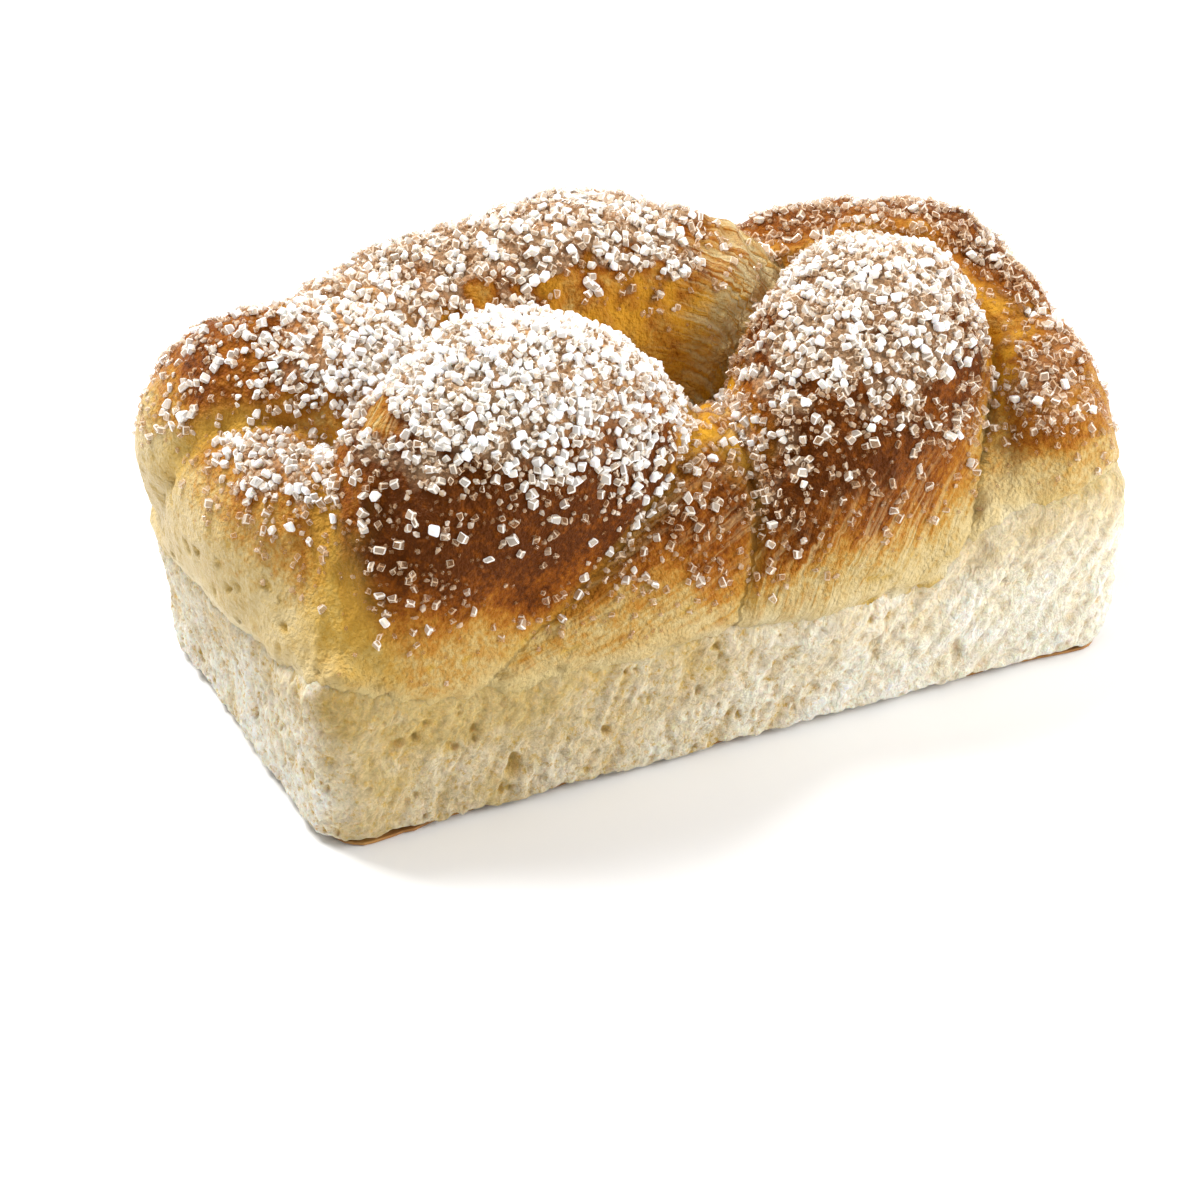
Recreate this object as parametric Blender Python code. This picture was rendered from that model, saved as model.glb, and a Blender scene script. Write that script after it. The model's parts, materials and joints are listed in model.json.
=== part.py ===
# Sugar-topped braided brioche loaf, pulled from a batch: eight fused lobes of dough on a base with torn sides.
# Metres, +Z up. The origin is the middle of the loaf's underside, and +X runs along the loaf.

import math
import random

import bmesh
import bpy
import numpy as np
from mathutils import Euler, Matrix, Vector, noise

# Driving dimensions
HALF_LENGTH = 0.125  # of the crust, end to end
HALF_WIDTH = 0.065
LOAF_HEIGHT = 0.122
STRAND_RADIUS = 0.030  # a full lobe of dough, across
BASE_HALF_LENGTH = 0.117
BASE_HALF_WIDTH = 0.0595
BASE_OFFSET = 0.002  # the base reaches further on the +X side
BASE_HEIGHT = 0.070  # of the valley floor between the lobes
BASE_CORNER = 0.013  # corner radius seen from above
BASE_SHOULDER = 0.032  # radius that rolls the side over into the valley
WALL_LEAN = 0.003  # how far the sides swell above the underside
CREASE_BLEND = 0.004  # width over which two lobes melt together
FLANK_BLEND = 0.009  # width over which a lobe melts into the base
TEAR_DEPTH = 0.0014  # how far the torn crumb lies behind the skin above it
TEAR_EDGE = 0.004  # height over which the skin steps back to the crumb
CRUMB_LUMP = 0.0011  # relief of the torn sides
CRUMB_LUMP_SIZE = 0.011

# Height of the torn edge round the loaf, from angle -180 at the -X end, over -90 at the long front
TEAR_LINE = (
    (-180, 0.041), (-150, 0.041), (-134, 0.045), (-122, 0.035), (-90, 0.034), (-65, 0.033), (-57, 0.048),
    (-46, 0.052), (-20, 0.046), (15, 0.050), (45, 0.044), (62, 0.036), (90, 0.040), (118, 0.035), (140, 0.033),
    (180, 0.041),
)

# Each lobe is a chain of stations: place along, across and up, then half width and half height, in parts of
# the half length, the half width, the loaf's height and twice the strand's radius
LOBES = {
    "back_left": (
        (-0.81, 0.61, 0.46, 0.70, 0.73), (-0.78, 0.52, 0.58, 0.90, 0.97), (-0.68, 0.34, 0.63, 0.93, 1.10),
        (-0.53, 0.12, 0.60, 0.90, 1.07), (-0.42, -0.05, 0.51, 0.67, 0.80),
    ),
    "left_end": (
        (-0.81, 0.65, 0.34, 0.60, 0.73), (-0.83, 0.37, 0.47, 0.67, 0.90), (-0.82, -0.05, 0.49, 0.70, 1.03),
        (-0.78, -0.37, 0.47, 0.63, 0.97), (-0.78, -0.54, 0.38, 0.50, 0.73),
    ),
    "front_left": (
        (-0.70, -0.62, 0.36, 0.63, 0.83), (-0.54, -0.49, 0.57, 0.97, 1.27), (-0.38, -0.42, 0.65, 1.06, 1.33),
        (-0.23, -0.35, 0.61, 0.97, 1.05), (-0.09, -0.25, 0.52, 0.78, 0.78), (0.04, -0.14, 0.43, 0.53, 0.58),
    ),
    "front_tuck": (
        (0.11, -0.37, 0.52, 0.50, 0.58), (0.00, -0.52, 0.49, 0.67, 0.80), (-0.13, -0.60, 0.43, 0.70, 0.87),
        (-0.30, -0.63, 0.36, 0.63, 0.73), (-0.48, -0.65, 0.31, 0.53, 0.57),
    ),
    "front_right": (
        (0.26, -0.56, 0.33, 0.83, 1.13), (0.32, -0.50, 0.47, 0.97, 1.23), (0.42, -0.36, 0.59, 1.10, 1.27),
        (0.54, -0.09, 0.60, 1.07, 1.13), (0.64, 0.18, 0.51, 0.73, 0.87),
    ),
    "right_end": (
        (0.77, -0.66, 0.34, 0.60, 0.73), (0.83, -0.55, 0.44, 0.67, 0.90), (0.86, -0.32, 0.48, 0.60, 0.87),
        (0.83, 0.02, 0.42, 0.57, 0.73),
    ),
    "back_middle": (
        (-0.69, 0.46, 0.48, 0.60, 0.67), (-0.53, 0.46, 0.63, 0.90, 1.07), (-0.27, 0.45, 0.68, 1.00, 1.20),
        (-0.02, 0.45, 0.69, 1.00, 1.20), (0.21, 0.37, 0.61, 0.90, 1.10), (0.32, 0.18, 0.49, 0.67, 0.87),
    ),
    "back_right": (
        (0.34, 0.49, 0.49, 0.60, 0.67), (0.45, 0.52, 0.59, 0.73, 0.87), (0.62, 0.49, 0.61, 0.83, 0.90),
        (0.78, 0.32, 0.61, 0.80, 0.90), (0.83, 0.03, 0.57, 0.67, 0.80), (0.86, -0.22, 0.51, 0.50, 0.67),
    ),
}
LINK_PITCH = 0.0030  # spacing of the ellipsoids that a lobe is threaded from

# Faceting of the solid
SKIN_VOXEL = 0.0030
LOAF_TRIANGLES = 6000
FLAT_UNDERSIDE = 0.0006  # points lower than this are pressed flat

# Coarse sugar
SUGAR_SEED = 41
SUGAR_COUNT = 135
SUGAR_SIZE = (0.0042, 0.0030)  # the first crystals placed and the last
SUGAR_SPACING = 0.0105
SUGAR_SINK = 0.12  # part of a crystal's size that its middle stands above the crust
SUGAR_LOWEST = 0.062
SUGAR_STEEPEST = 0.30  # least upward lean of the crust under a crystal


def clear_scene():
    for item in list(bpy.data.objects):
        bpy.data.objects.remove(item)


def material(name, colour, roughness):
    made = bpy.data.materials.new(name)
    made.use_nodes = True
    shader = made.node_tree.nodes["Principled BSDF"]
    shader.inputs["Base Color"].default_value = (*colour, 1)
    shader.inputs["Roughness"].default_value = roughness
    shader.inputs["Metallic"].default_value = 0
    return made


def smooth_route(stations, count=160):
    """Points on a Catmull-Rom curve through the stations, all five numbers of a station alike."""
    knots = np.vstack([2 * stations[0] - stations[1], stations, 2 * stations[-1] - stations[-2]])
    place = np.linspace(0, len(stations) - 1 - 1e-9, count)
    first = place.astype(int)
    t = (place - first)[:, None]
    a, b, c, d = (knots[first + k] for k in range(4))
    return 0.5 * (2 * b + (c - a) * t + (2 * a - 5 * b + 4 * c - d) * t**2 + (3 * b - a - 3 * c + d) * t**3)


def thread_lobe(stations):
    """The ellipsoids of one lobe, at even pitch: centres, and matrices with one half axis in each column."""
    sizes = np.array([HALF_LENGTH, HALF_WIDTH, LOAF_HEIGHT, STRAND_RADIUS, STRAND_RADIUS])
    route = smooth_route(np.array(stations) * sizes)
    run = np.r_[0, np.cumsum(np.linalg.norm(np.diff(route[:, :3], axis=0), axis=1))]
    stops = np.linspace(0, run[-1], int(run[-1] / LINK_PITCH) + 2)
    route = np.stack([np.interp(stops, run, column) for column in route.T], axis=1)
    centres, half_width, half_height = route[:, :3], route[:, 3:4], route[:, 4:5]
    ahead = np.gradient(centres, axis=0)
    ahead /= np.linalg.norm(ahead, axis=1, keepdims=True)
    aside = np.cross(ahead, (0, 0, 1))
    aside /= np.linalg.norm(aside, axis=1, keepdims=True)
    above = np.cross(aside, ahead)
    half_length = (half_width + half_height) / 2
    return centres, np.stack([ahead * half_length, aside * half_width, above * half_height], axis=2)


def distance_to_lobe(points, lobe):
    nearest = np.full(len(points), np.inf)
    for centre, axes in zip(*lobe):
        reach = np.linalg.norm((points - centre) @ np.linalg.inv(axes).T, axis=1)
        thinnest = np.linalg.norm(axes, axis=0)[1:].min()
        nearest = np.minimum(nearest, (reach - 1) * thinnest)
    return nearest


def distance_to_base(points):
    """A block with round corners whose sides swell a little and roll over at the top."""
    x, y, z = points.T
    swell = WALL_LEAN * np.sin(np.clip(z / BASE_HEIGHT, 0, 1) * math.pi * 0.6)
    across_x = np.abs(x - BASE_OFFSET) - (BASE_HALF_LENGTH + swell - BASE_CORNER)
    across_y = np.abs(y) - (BASE_HALF_WIDTH + swell - BASE_CORNER)
    side = rounded(across_x, across_y) - BASE_CORNER + BASE_SHOULDER
    return rounded(side, z - BASE_HEIGHT + BASE_SHOULDER) - BASE_SHOULDER


def rounded(a, b):
    return np.minimum(np.maximum(a, b), 0) + np.hypot(np.maximum(a, 0), np.maximum(b, 0))


def melt(a, b, width):
    """The lower of two distances, run together smoothly where they are less than width apart."""
    overlap = np.maximum(width - np.abs(a - b), 0) / width
    return np.minimum(a, b) - overlap**2 * width / 4


def tear_height(points):
    angle = np.degrees(np.arctan2(points[:, 1] / BASE_HALF_WIDTH, points[:, 0] / BASE_HALF_LENGTH))
    angles, heights = np.array(TEAR_LINE).T
    return np.interp(angle, angles, heights)


def torn_share(points):
    """1 on the torn crumb, 0 on the skin, with a step at the tear."""
    t = np.clip((tear_height(points) - points[:, 2]) / TEAR_EDGE + 0.5, 0, 1)
    return t * t * (3 - 2 * t)


def distance_to_dough(points, lobes):
    near, next_near = np.sort([distance_to_lobe(points, lobe) for lobe in lobes], axis=0)[:2]
    dough = melt(melt(near, next_near, CREASE_BLEND), distance_to_base(points), FLANK_BLEND)
    return np.maximum(dough + TEAR_DEPTH * torn_share(points), -points[:, 2])


def slope_of_dough(points, lobes, step=0.0003):
    here = distance_to_dough(points, lobes)
    slope = np.stack([distance_to_dough(points + row, lobes) - here for row in np.eye(3) * step], axis=1)
    return here, slope / np.maximum(np.linalg.norm(slope, axis=1, keepdims=True), 1e-9)


def rough_dough(lobes):
    """The ellipsoids and the base as one voxel skin."""
    built = bmesh.new()
    for centres, axes in lobes:
        for centre, half_axes in zip(centres, axes):
            place = Matrix.Translation(Vector(centre)) @ Matrix(half_axes.tolist()).to_4x4()
            bmesh.ops.create_icosphere(built, subdivisions=2, radius=1, matrix=place)
    core = (2 * BASE_HALF_LENGTH, 2 * BASE_HALF_WIDTH, BASE_HEIGHT)
    middle = Matrix.Translation((BASE_OFFSET, 0, BASE_HEIGHT / 2))
    bmesh.ops.create_cube(built, size=1, matrix=middle @ Matrix.Diagonal((*core, 1)))
    mesh = bpy.data.meshes.new("rough_dough")
    built.to_mesh(mesh)
    built.free()
    dough = bpy.data.objects.new("rough_dough", mesh)
    bpy.context.scene.collection.objects.link(dough)
    skin = dough.modifiers.new("skin", "REMESH")
    skin.mode = "VOXEL"
    skin.voxel_size = SKIN_VOXEL
    return baked(dough)


def baked(item):
    """A new mesh of the object as its modifiers leave it, and the object removed."""
    evaluated = item.evaluated_get(bpy.context.evaluated_depsgraph_get())
    mesh = bpy.data.meshes.new_from_object(evaluated)
    bpy.data.objects.remove(item)
    return mesh


def settle(mesh, lobes):
    """Moves the skin's points onto the melted surface, roughens the torn sides and presses the underside flat."""
    points = np.empty(len(mesh.vertices) * 3)
    mesh.vertices.foreach_get("co", points)
    points = points.reshape(-1, 3)
    for _ in range(4):
        distance, outward = slope_of_dough(points, lobes)
        points -= outward * distance[:, None] * 0.9
    _, outward = slope_of_dough(points, lobes)
    torn = torn_share(points) * np.clip(points[:, 2] / TEAR_EDGE, 0, 1) * (np.abs(outward[:, 2]) < 0.7)
    lumps = np.array([noise.noise(Vector(p) / CRUMB_LUMP_SIZE) for p in points])
    points += outward * (torn * lumps * CRUMB_LUMP)[:, None]
    points[points[:, 2] < FLAT_UNDERSIDE, 2] = 0
    mesh.vertices.foreach_set("co", points.ravel())
    mesh.update()


def sugar_places(mesh, lobes):
    """Spots on the crests, drawn at random and kept apart, with the crust's outward direction at each."""
    draw = random.Random(SUGAR_SEED)
    faces = [face for face in mesh.polygons if face.center.z > SUGAR_LOWEST and face.normal.z > SUGAR_STEEPEST]
    centres = np.array([face.center for face in faces])
    near, next_near = np.sort([distance_to_lobe(centres, lobe) for lobe in lobes], axis=0)[:2]
    on_crest = [face for face, gap in zip(faces, next_near - near) if gap > CREASE_BLEND]
    draw.shuffle(on_crest)
    chosen = []
    for face in on_crest:
        spot = face.center.copy()
        if all((spot - other).length > SUGAR_SPACING for other, _ in chosen):
            chosen.append((spot, face.normal.copy()))
        if len(chosen) == SUGAR_COUNT:
            break
    return chosen


def add_crystals(places, home, finish):
    """One blocky crystal at each place, the largest first."""
    draw = random.Random(SUGAR_SEED + 1)
    largest, smallest = SUGAR_SIZE
    for number, (spot, outward) in enumerate(places):
        size = largest + (smallest - largest) * number / len(places)
        built = bmesh.new()
        bmesh.ops.create_icosphere(built, subdivisions=1, radius=size / 2)
        stretch = Matrix.Diagonal([draw.uniform(0.8, 1.2) for _ in range(3)]).to_4x4()
        turn = Euler([draw.uniform(0, math.tau) for _ in range(3)]).to_matrix().to_4x4()
        place = Matrix.Translation(spot + outward * size * SUGAR_SINK)
        bmesh.ops.transform(built, matrix=place @ turn @ stretch, verts=built.verts)
        mesh = bpy.data.meshes.new(f"crystal_{number}")
        built.to_mesh(mesh)
        built.free()
        mesh.materials.append(finish)
        home.objects.link(bpy.data.objects.new(f"crystal_{number}", mesh))


def build_loaf():
    lobes = [thread_lobe(stations) for stations in LOBES.values()]
    mesh = rough_dough(lobes)
    settle(mesh, lobes)
    places = sugar_places(mesh, lobes)

    loaf = bpy.data.objects.new("brioche_loaf", mesh)
    mesh.name = "brioche_loaf"
    mesh.materials.append(material("golden_crust", (0.55, 0.27, 0.07), 0.45))
    bpy.context.scene.collection.objects.link(loaf)
    facets = loaf.modifiers.new("facets", "DECIMATE")
    facets.ratio = LOAF_TRIANGLES / (2 * len(mesh.polygons))
    facets.use_collapse_triangulate = True

    sugar = bpy.data.collections.new("sugar")
    bpy.context.scene.collection.children.link(sugar)
    add_crystals(places, sugar, material("coarse_sugar", (0.90, 0.86, 0.78), 0.25))
    fuse = loaf.modifiers.new("fuse_sugar", "BOOLEAN")
    fuse.operation = "UNION"
    fuse.operand_type = "COLLECTION"
    fuse.collection = sugar
    fuse.solver = "EXACT"
    fused = bpy.data.meshes.new_from_object(loaf.evaluated_get(bpy.context.evaluated_depsgraph_get()))
    loaf.modifiers.clear()
    loaf.data = fused
    for crystal in list(sugar.objects):
        bpy.data.objects.remove(crystal)
    bpy.data.collections.remove(sugar)
    fused.shade_smooth()
    fused.set_sharp_from_angle(angle=math.radians(40))


clear_scene()
build_loaf()
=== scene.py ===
# Braided brioche with coarse sugar and torn sides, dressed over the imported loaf.
# Everything is in metres, in the loaf's own frame: +X along the loaf, -Y towards its long front.

import json
import math
import random

import bmesh
import bpy
import numpy as np
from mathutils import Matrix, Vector, noise

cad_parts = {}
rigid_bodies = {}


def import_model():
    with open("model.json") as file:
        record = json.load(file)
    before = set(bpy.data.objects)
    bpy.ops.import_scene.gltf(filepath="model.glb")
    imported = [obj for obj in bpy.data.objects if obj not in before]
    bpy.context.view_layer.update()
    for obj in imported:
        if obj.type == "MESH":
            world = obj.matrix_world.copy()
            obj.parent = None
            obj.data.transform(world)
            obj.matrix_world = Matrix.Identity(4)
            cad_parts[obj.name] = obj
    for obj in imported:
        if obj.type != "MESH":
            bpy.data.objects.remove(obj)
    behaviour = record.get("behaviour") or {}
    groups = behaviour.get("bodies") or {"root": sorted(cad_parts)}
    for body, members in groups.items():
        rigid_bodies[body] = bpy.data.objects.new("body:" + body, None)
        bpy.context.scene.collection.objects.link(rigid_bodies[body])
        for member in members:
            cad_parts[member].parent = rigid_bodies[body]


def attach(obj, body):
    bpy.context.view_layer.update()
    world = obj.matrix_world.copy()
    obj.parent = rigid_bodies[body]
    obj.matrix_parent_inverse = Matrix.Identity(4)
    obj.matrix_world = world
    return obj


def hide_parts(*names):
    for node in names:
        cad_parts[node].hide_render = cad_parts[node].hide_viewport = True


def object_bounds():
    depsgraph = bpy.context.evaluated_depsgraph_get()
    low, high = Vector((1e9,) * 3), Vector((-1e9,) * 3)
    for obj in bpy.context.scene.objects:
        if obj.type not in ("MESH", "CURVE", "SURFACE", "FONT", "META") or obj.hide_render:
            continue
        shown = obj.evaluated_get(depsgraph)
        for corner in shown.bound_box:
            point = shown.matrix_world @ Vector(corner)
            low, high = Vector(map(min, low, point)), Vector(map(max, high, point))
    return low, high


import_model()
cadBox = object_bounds()
scene = bpy.context.scene
mm = 0.001

print("loaf loaded, cad box", cadBox)


# the dough: lobes threaded along curved routes and melted into a base

dough = {
    "halfLength": 0.125,
    "halfWidth": 0.065,
    "height": 0.122,
    "strandRadius": 0.030,
    "linkPitch": 0.0030,
    "creaseBlend": 0.0034,  # how softly two lobes meet
    "flankBlend": 0.009,
    "baseHalfLength": 0.117,
    "baseHalfWidth": 0.0595,
    "baseOffset": 0.002,
    "baseHeight": 0.070,
    "baseCorner": 0.013,
    "baseShoulder": 0.032,
    "wallLean": 0.003,
    "wallBelly": 0.6,  # which part of a half wave it is
    "searchMargin": 0.008,  # how far outside a lobe its distance still counts
    "far": 0.05,
}

# along, across and up, then half width and half height, in parts of the sizes above
lobes = {
    "backLeft": (
        (-0.81, 0.61, 0.46, 0.70, 0.73), (-0.78, 0.52, 0.58, 0.90, 0.97), (-0.68, 0.34, 0.63, 0.93, 1.10),
        (-0.53, 0.12, 0.60, 0.90, 1.07), (-0.42, -0.05, 0.51, 0.67, 0.80),
    ),
    "leftEnd": (
        (-0.81, 0.65, 0.34, 0.60, 0.73), (-0.83, 0.37, 0.47, 0.67, 0.90), (-0.82, -0.05, 0.49, 0.70, 1.03),
        (-0.78, -0.37, 0.47, 0.63, 0.97), (-0.78, -0.54, 0.38, 0.50, 0.73),
    ),
    "frontLeft": (
        (-0.70, -0.62, 0.36, 0.63, 0.83), (-0.54, -0.49, 0.57, 0.97, 1.27), (-0.38, -0.42, 0.65, 1.06, 1.33),
        (-0.23, -0.35, 0.61, 0.97, 1.05), (-0.09, -0.25, 0.52, 0.78, 0.78), (0.04, -0.14, 0.43, 0.53, 0.58),
    ),
    "frontTuck": (
        (0.11, -0.37, 0.52, 0.50, 0.58), (0.00, -0.52, 0.49, 0.67, 0.80), (-0.13, -0.60, 0.43, 0.70, 0.87),
        (-0.30, -0.63, 0.36, 0.63, 0.73), (-0.48, -0.65, 0.31, 0.53, 0.57),
    ),
    "frontRight": (
        (0.26, -0.56, 0.33, 0.83, 1.13), (0.32, -0.50, 0.47, 0.97, 1.23), (0.42, -0.36, 0.59, 1.10, 1.27),
        (0.54, -0.09, 0.60, 1.07, 1.13), (0.64, 0.18, 0.51, 0.73, 0.87),
    ),
    "rightEnd": (
        (0.77, -0.66, 0.34, 0.60, 0.73), (0.83, -0.55, 0.44, 0.67, 0.90), (0.86, -0.32, 0.48, 0.60, 0.87),
        (0.83, 0.02, 0.42, 0.57, 0.73),
    ),
    "backMiddle": (
        (-0.69, 0.46, 0.48, 0.60, 0.67), (-0.53, 0.46, 0.63, 0.90, 1.07), (-0.27, 0.45, 0.68, 1.00, 1.20),
        (-0.02, 0.45, 0.69, 1.00, 1.20), (0.21, 0.37, 0.61, 0.90, 1.10), (0.32, 0.18, 0.49, 0.67, 0.87),
    ),
    "backRight": (
        (0.34, 0.49, 0.49, 0.60, 0.67), (0.45, 0.52, 0.59, 0.73, 0.87), (0.62, 0.49, 0.61, 0.83, 0.90),
        (0.78, 0.32, 0.61, 0.80, 0.90), (0.83, 0.03, 0.57, 0.67, 0.80), (0.86, -0.22, 0.51, 0.50, 0.67),
    ),
}


# heights round the loaf, by the angle of the base's outline: -180 left end, -90 long front, 0 right end
tearLine = (
    (-180, 0.041), (-150, 0.041), (-134, 0.045), (-122, 0.035), (-90, 0.034), (-65, 0.033),
    (-57, 0.048), (-46, 0.052), (-20, 0.046), (15, 0.050), (45, 0.044), (62, 0.036),
    (90, 0.040), (118, 0.035), (140, 0.033), (180, 0.041),
)
fadeLine = (
    (-180, 0.071), (-150, 0.067), (-130, 0.057), (-115, 0.052), (-97, 0.046), (-86, 0.046),
    (-78, 0.050), (-62, 0.054), (-50, 0.059), (-25, 0.062), (20, 0.066), (50, 0.060),
    (90, 0.056), (130, 0.062), (150, 0.076), (180, 0.071),
)


def smoothRoute(stations, count=160):  # a Catmull-Rom curve
    knots = np.vstack([2 * stations[0] - stations[1], stations, 2 * stations[-1] - stations[-2]])
    place = np.linspace(0, len(stations) - 1 - 1e-9, count)
    first = place.astype(int)
    t = (place - first)[:, None]
    a, b, c, d = (knots[first + k] for k in range(4))
    return 0.5 * (2 * b + (c - a) * t + (2 * a - 5 * b + 4 * c - d) * t**2 + (3 * b - a - 3 * c + d) * t**3)


def threadLobe(stations):
    radius = dough["strandRadius"]
    sizes = np.array([dough["halfLength"], dough["halfWidth"], dough["height"], radius, radius])
    route = smoothRoute(np.array(stations) * sizes)
    run = np.r_[0, np.cumsum(np.linalg.norm(np.diff(route[:, :3], axis=0), axis=1))]
    stops = np.linspace(0, run[-1], int(run[-1] / dough["linkPitch"]) + 2)
    route = np.stack([np.interp(stops, run, column) for column in route.T], axis=1)
    centres, halfWidth, halfHeight = route[:, :3], route[:, 3:4], route[:, 4:5]
    ahead = np.gradient(centres, axis=0)
    ahead /= np.linalg.norm(ahead, axis=1, keepdims=True)
    aside = np.cross(ahead, (0, 0, 1))
    aside /= np.linalg.norm(aside, axis=1, keepdims=True)
    above = np.cross(aside, ahead)
    axes = np.stack([ahead * (halfWidth + halfHeight) / 2, aside * halfWidth, above * halfHeight], axis=2)
    thinnest = np.minimum(halfWidth, halfHeight)[:, 0]
    return {
        "centres": centres,
        "axes": axes,
        "inverses": np.linalg.inv(axes),
        "thinnest": thinnest,
        "stops": stops,
        "reach": np.linalg.norm(axes, axis=1).max() + dough["searchMargin"],
    }


threads = [threadLobe(stations) for stations in lobes.values()]


def nearestLinks(points, thread):
    distance = np.full(len(points), dough["far"])
    link = np.zeros(len(points), int)
    low = thread["centres"].min(axis=0) - thread["reach"]
    high = thread["centres"].max(axis=0) + thread["reach"]
    close = np.flatnonzero(((points > low) & (points < high)).all(axis=1))
    here = points[close]
    best, bestLink = np.full(len(close), dough["far"]), np.zeros(len(close), int)
    shapes = zip(thread["centres"], thread["inverses"], thread["thinnest"])
    for number, (centre, inverse, thin) in enumerate(shapes):
        local = (here - centre) @ inverse.T
        reach = (np.sqrt(np.einsum("ij,ij->i", local, local)) - 1) * thin
        nearer = reach < best
        best[nearer] = reach[nearer]
        bestLink[nearer] = number
    distance[close] = best
    link[close] = bestLink
    return distance, link


def rounded(a, b):
    return np.minimum(np.maximum(a, b), 0) + np.hypot(np.maximum(a, 0), np.maximum(b, 0))


def melt(a, b, width):
    overlap = np.maximum(width - np.abs(a - b), 0) / width
    return np.minimum(a, b) - overlap**2 * width / 4


def distanceToBase(points):
    x, y, z = points.T
    rise = np.clip(z / dough["baseHeight"], 0, 1)
    swell = dough["wallLean"] * np.sin(rise * math.pi * dough["wallBelly"])
    acrossX = np.abs(x - dough["baseOffset"]) - (dough["baseHalfLength"] + swell - dough["baseCorner"])
    acrossY = np.abs(y) - (dough["baseHalfWidth"] + swell - dough["baseCorner"])
    side = rounded(acrossX, acrossY) - dough["baseCorner"] + dough["baseShoulder"]
    return rounded(side, z - dough["baseHeight"] + dough["baseShoulder"]) - dough["baseShoulder"]


def lobeDistances(points):
    return np.array([nearestLinks(points, thread)[0] for thread in threads])


def distanceToDough(points):
    near, nextNear = np.sort(lobeDistances(points), axis=0)[:2]
    lobed = melt(near, nextNear, dough["creaseBlend"])
    return melt(lobed, distanceToBase(points), dough["flankBlend"])


def slopeOfDough(points, step=0.0003):
    here = distanceToDough(points)
    slope = np.stack([distanceToDough(points + row) - here for row in np.eye(3) * step], axis=1)
    return here, slope / np.maximum(np.linalg.norm(slope, axis=1, keepdims=True), 1e-9)


def outlineAngle(points):
    across, along = points[:, 1] / dough["baseHalfWidth"], points[:, 0] / dough["baseHalfLength"]
    return np.degrees(np.arctan2(across, along))


def heightOf(line, points):
    angles, heights = np.array(line).T
    return np.interp(outlineAngle(points), angles, heights)


def smoothStep(low, high, values):
    t = np.clip((values - low) / (high - low), 0, 1)
    return t * t * (3 - 2 * t)


def fadeOut(low, high, values):
    return 1 - smoothStep(low, high, values)


noiseStride = (1, 0.7, 1.3)  # each seed looks at another part of the noise


def noiseSpots(points, size, seed):
    shift = Vector([seed * step for step in noiseStride])
    return [Vector(p) / size + shift for p in points]


def noiseAt(points, size, seed):
    return np.array([noise.noise(spot) for spot in noiseSpots(points, size, seed)])


def nearestCell(points, size, seed):
    return np.array([noise.voronoi(spot)[0][0] for spot in noiseSpots(points, size, seed)])


def layeredNoise(points, layers):  # each layer is a size, a seed and a height
    return sum(height * noiseAt(points, size, seed) for size, seed, height in layers)


def getPoints(mesh):
    points = np.empty(len(mesh.vertices) * 3)
    mesh.vertices.foreach_get("co", points)
    return points.reshape(-1, 3)


def setPoints(mesh, points):
    mesh.vertices.foreach_set("co", np.ascontiguousarray(points, dtype=np.float64).ravel())
    mesh.update()


def insideCad(points):
    low, high = (np.array(corner) for corner in cadBox)
    return np.clip(points, low + 1e-5, high - 1e-5)


def getNormals(mesh):
    normals = np.empty(len(mesh.vertices) * 3, dtype=np.float32)
    mesh.vertex_normals.foreach_get("vector", normals)
    return normals.reshape(-1, 3).astype(float)


def storeFloat(mesh, name, values):
    layer = mesh.attributes.get(name) or mesh.attributes.new(name, "FLOAT", "POINT")
    layer.data.foreach_set("value", np.ascontiguousarray(values, dtype=np.float32))


def storeVector(mesh, name, values):
    layer = mesh.attributes.get(name) or mesh.attributes.new(name, "FLOAT_VECTOR", "POINT")
    layer.data.foreach_set("vector", np.ascontiguousarray(values, dtype=np.float32).ravel())


def addObject(name, mesh):
    made = bpy.data.objects.new(name, mesh)
    mesh.name = name
    scene.collection.objects.link(made)
    return made


def baked(item):
    evaluated = item.evaluated_get(bpy.context.evaluated_depsgraph_get())
    mesh = bpy.data.meshes.new_from_object(evaluated)
    bpy.data.objects.remove(item)
    return mesh


# materials

def addNode(tree, kind, inputs=None, **settings):
    made = tree.nodes.new(kind)
    for key, value in settings.items():
        setattr(made, key, value)
    for key, value in (inputs or {}).items():
        if isinstance(value, bpy.types.NodeSocket):
            tree.links.new(value, made.inputs[key])
        else:
            made.inputs[key].default_value = value
    return made


def startMaterial(name, inputs):
    made = bpy.data.materials.new(name)
    made.use_nodes = True
    tree = made.node_tree
    shader = tree.nodes["Principled BSDF"]
    for key, value in inputs.items():
        shader.inputs[key].default_value = value
    return made, tree, shader


def ramp(tree, factor, stops):
    made = addNode(tree, "ShaderNodeValToRGB", {"Fac": factor})
    elements = made.color_ramp.elements
    while len(elements) < len(stops):
        elements.new(0.5)
    for element, (place, colour) in zip(elements, stops):
        element.position = place
        element.color = (*colour, 1)
    return made.outputs["Color"]


def blendColours(tree, factor, first, second):
    colours = [c if isinstance(c, bpy.types.NodeSocket) else (*c, 1) for c in (first, second)]
    inputs = {0: factor, 6: colours[0], 7: colours[1]}
    return addNode(tree, "ShaderNodeMix", inputs, data_type="RGBA").outputs[2]


def calculate(tree, operation, first, second=0.0, third=0.0, clamp=False):
    inputs = {0: first, 1: second, 2: third}
    return addNode(tree, "ShaderNodeMath", inputs, operation=operation, use_clamp=clamp).outputs[0]


def attribute(tree, name, output="Fac"):
    return addNode(tree, "ShaderNodeAttribute", attribute_name=name).outputs[output]


def objectPlace(tree):
    return addNode(tree, "ShaderNodeTexCoord").outputs["Object"]


def noiseTexture(tree, place, texture, output="Fac"):
    return addNode(tree, "ShaderNodeTexNoise", {"Vector": place, **texture}).outputs[output]


def aboutZero(tree, values):
    return calculate(tree, "SUBTRACT", values, 0.5)


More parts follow.
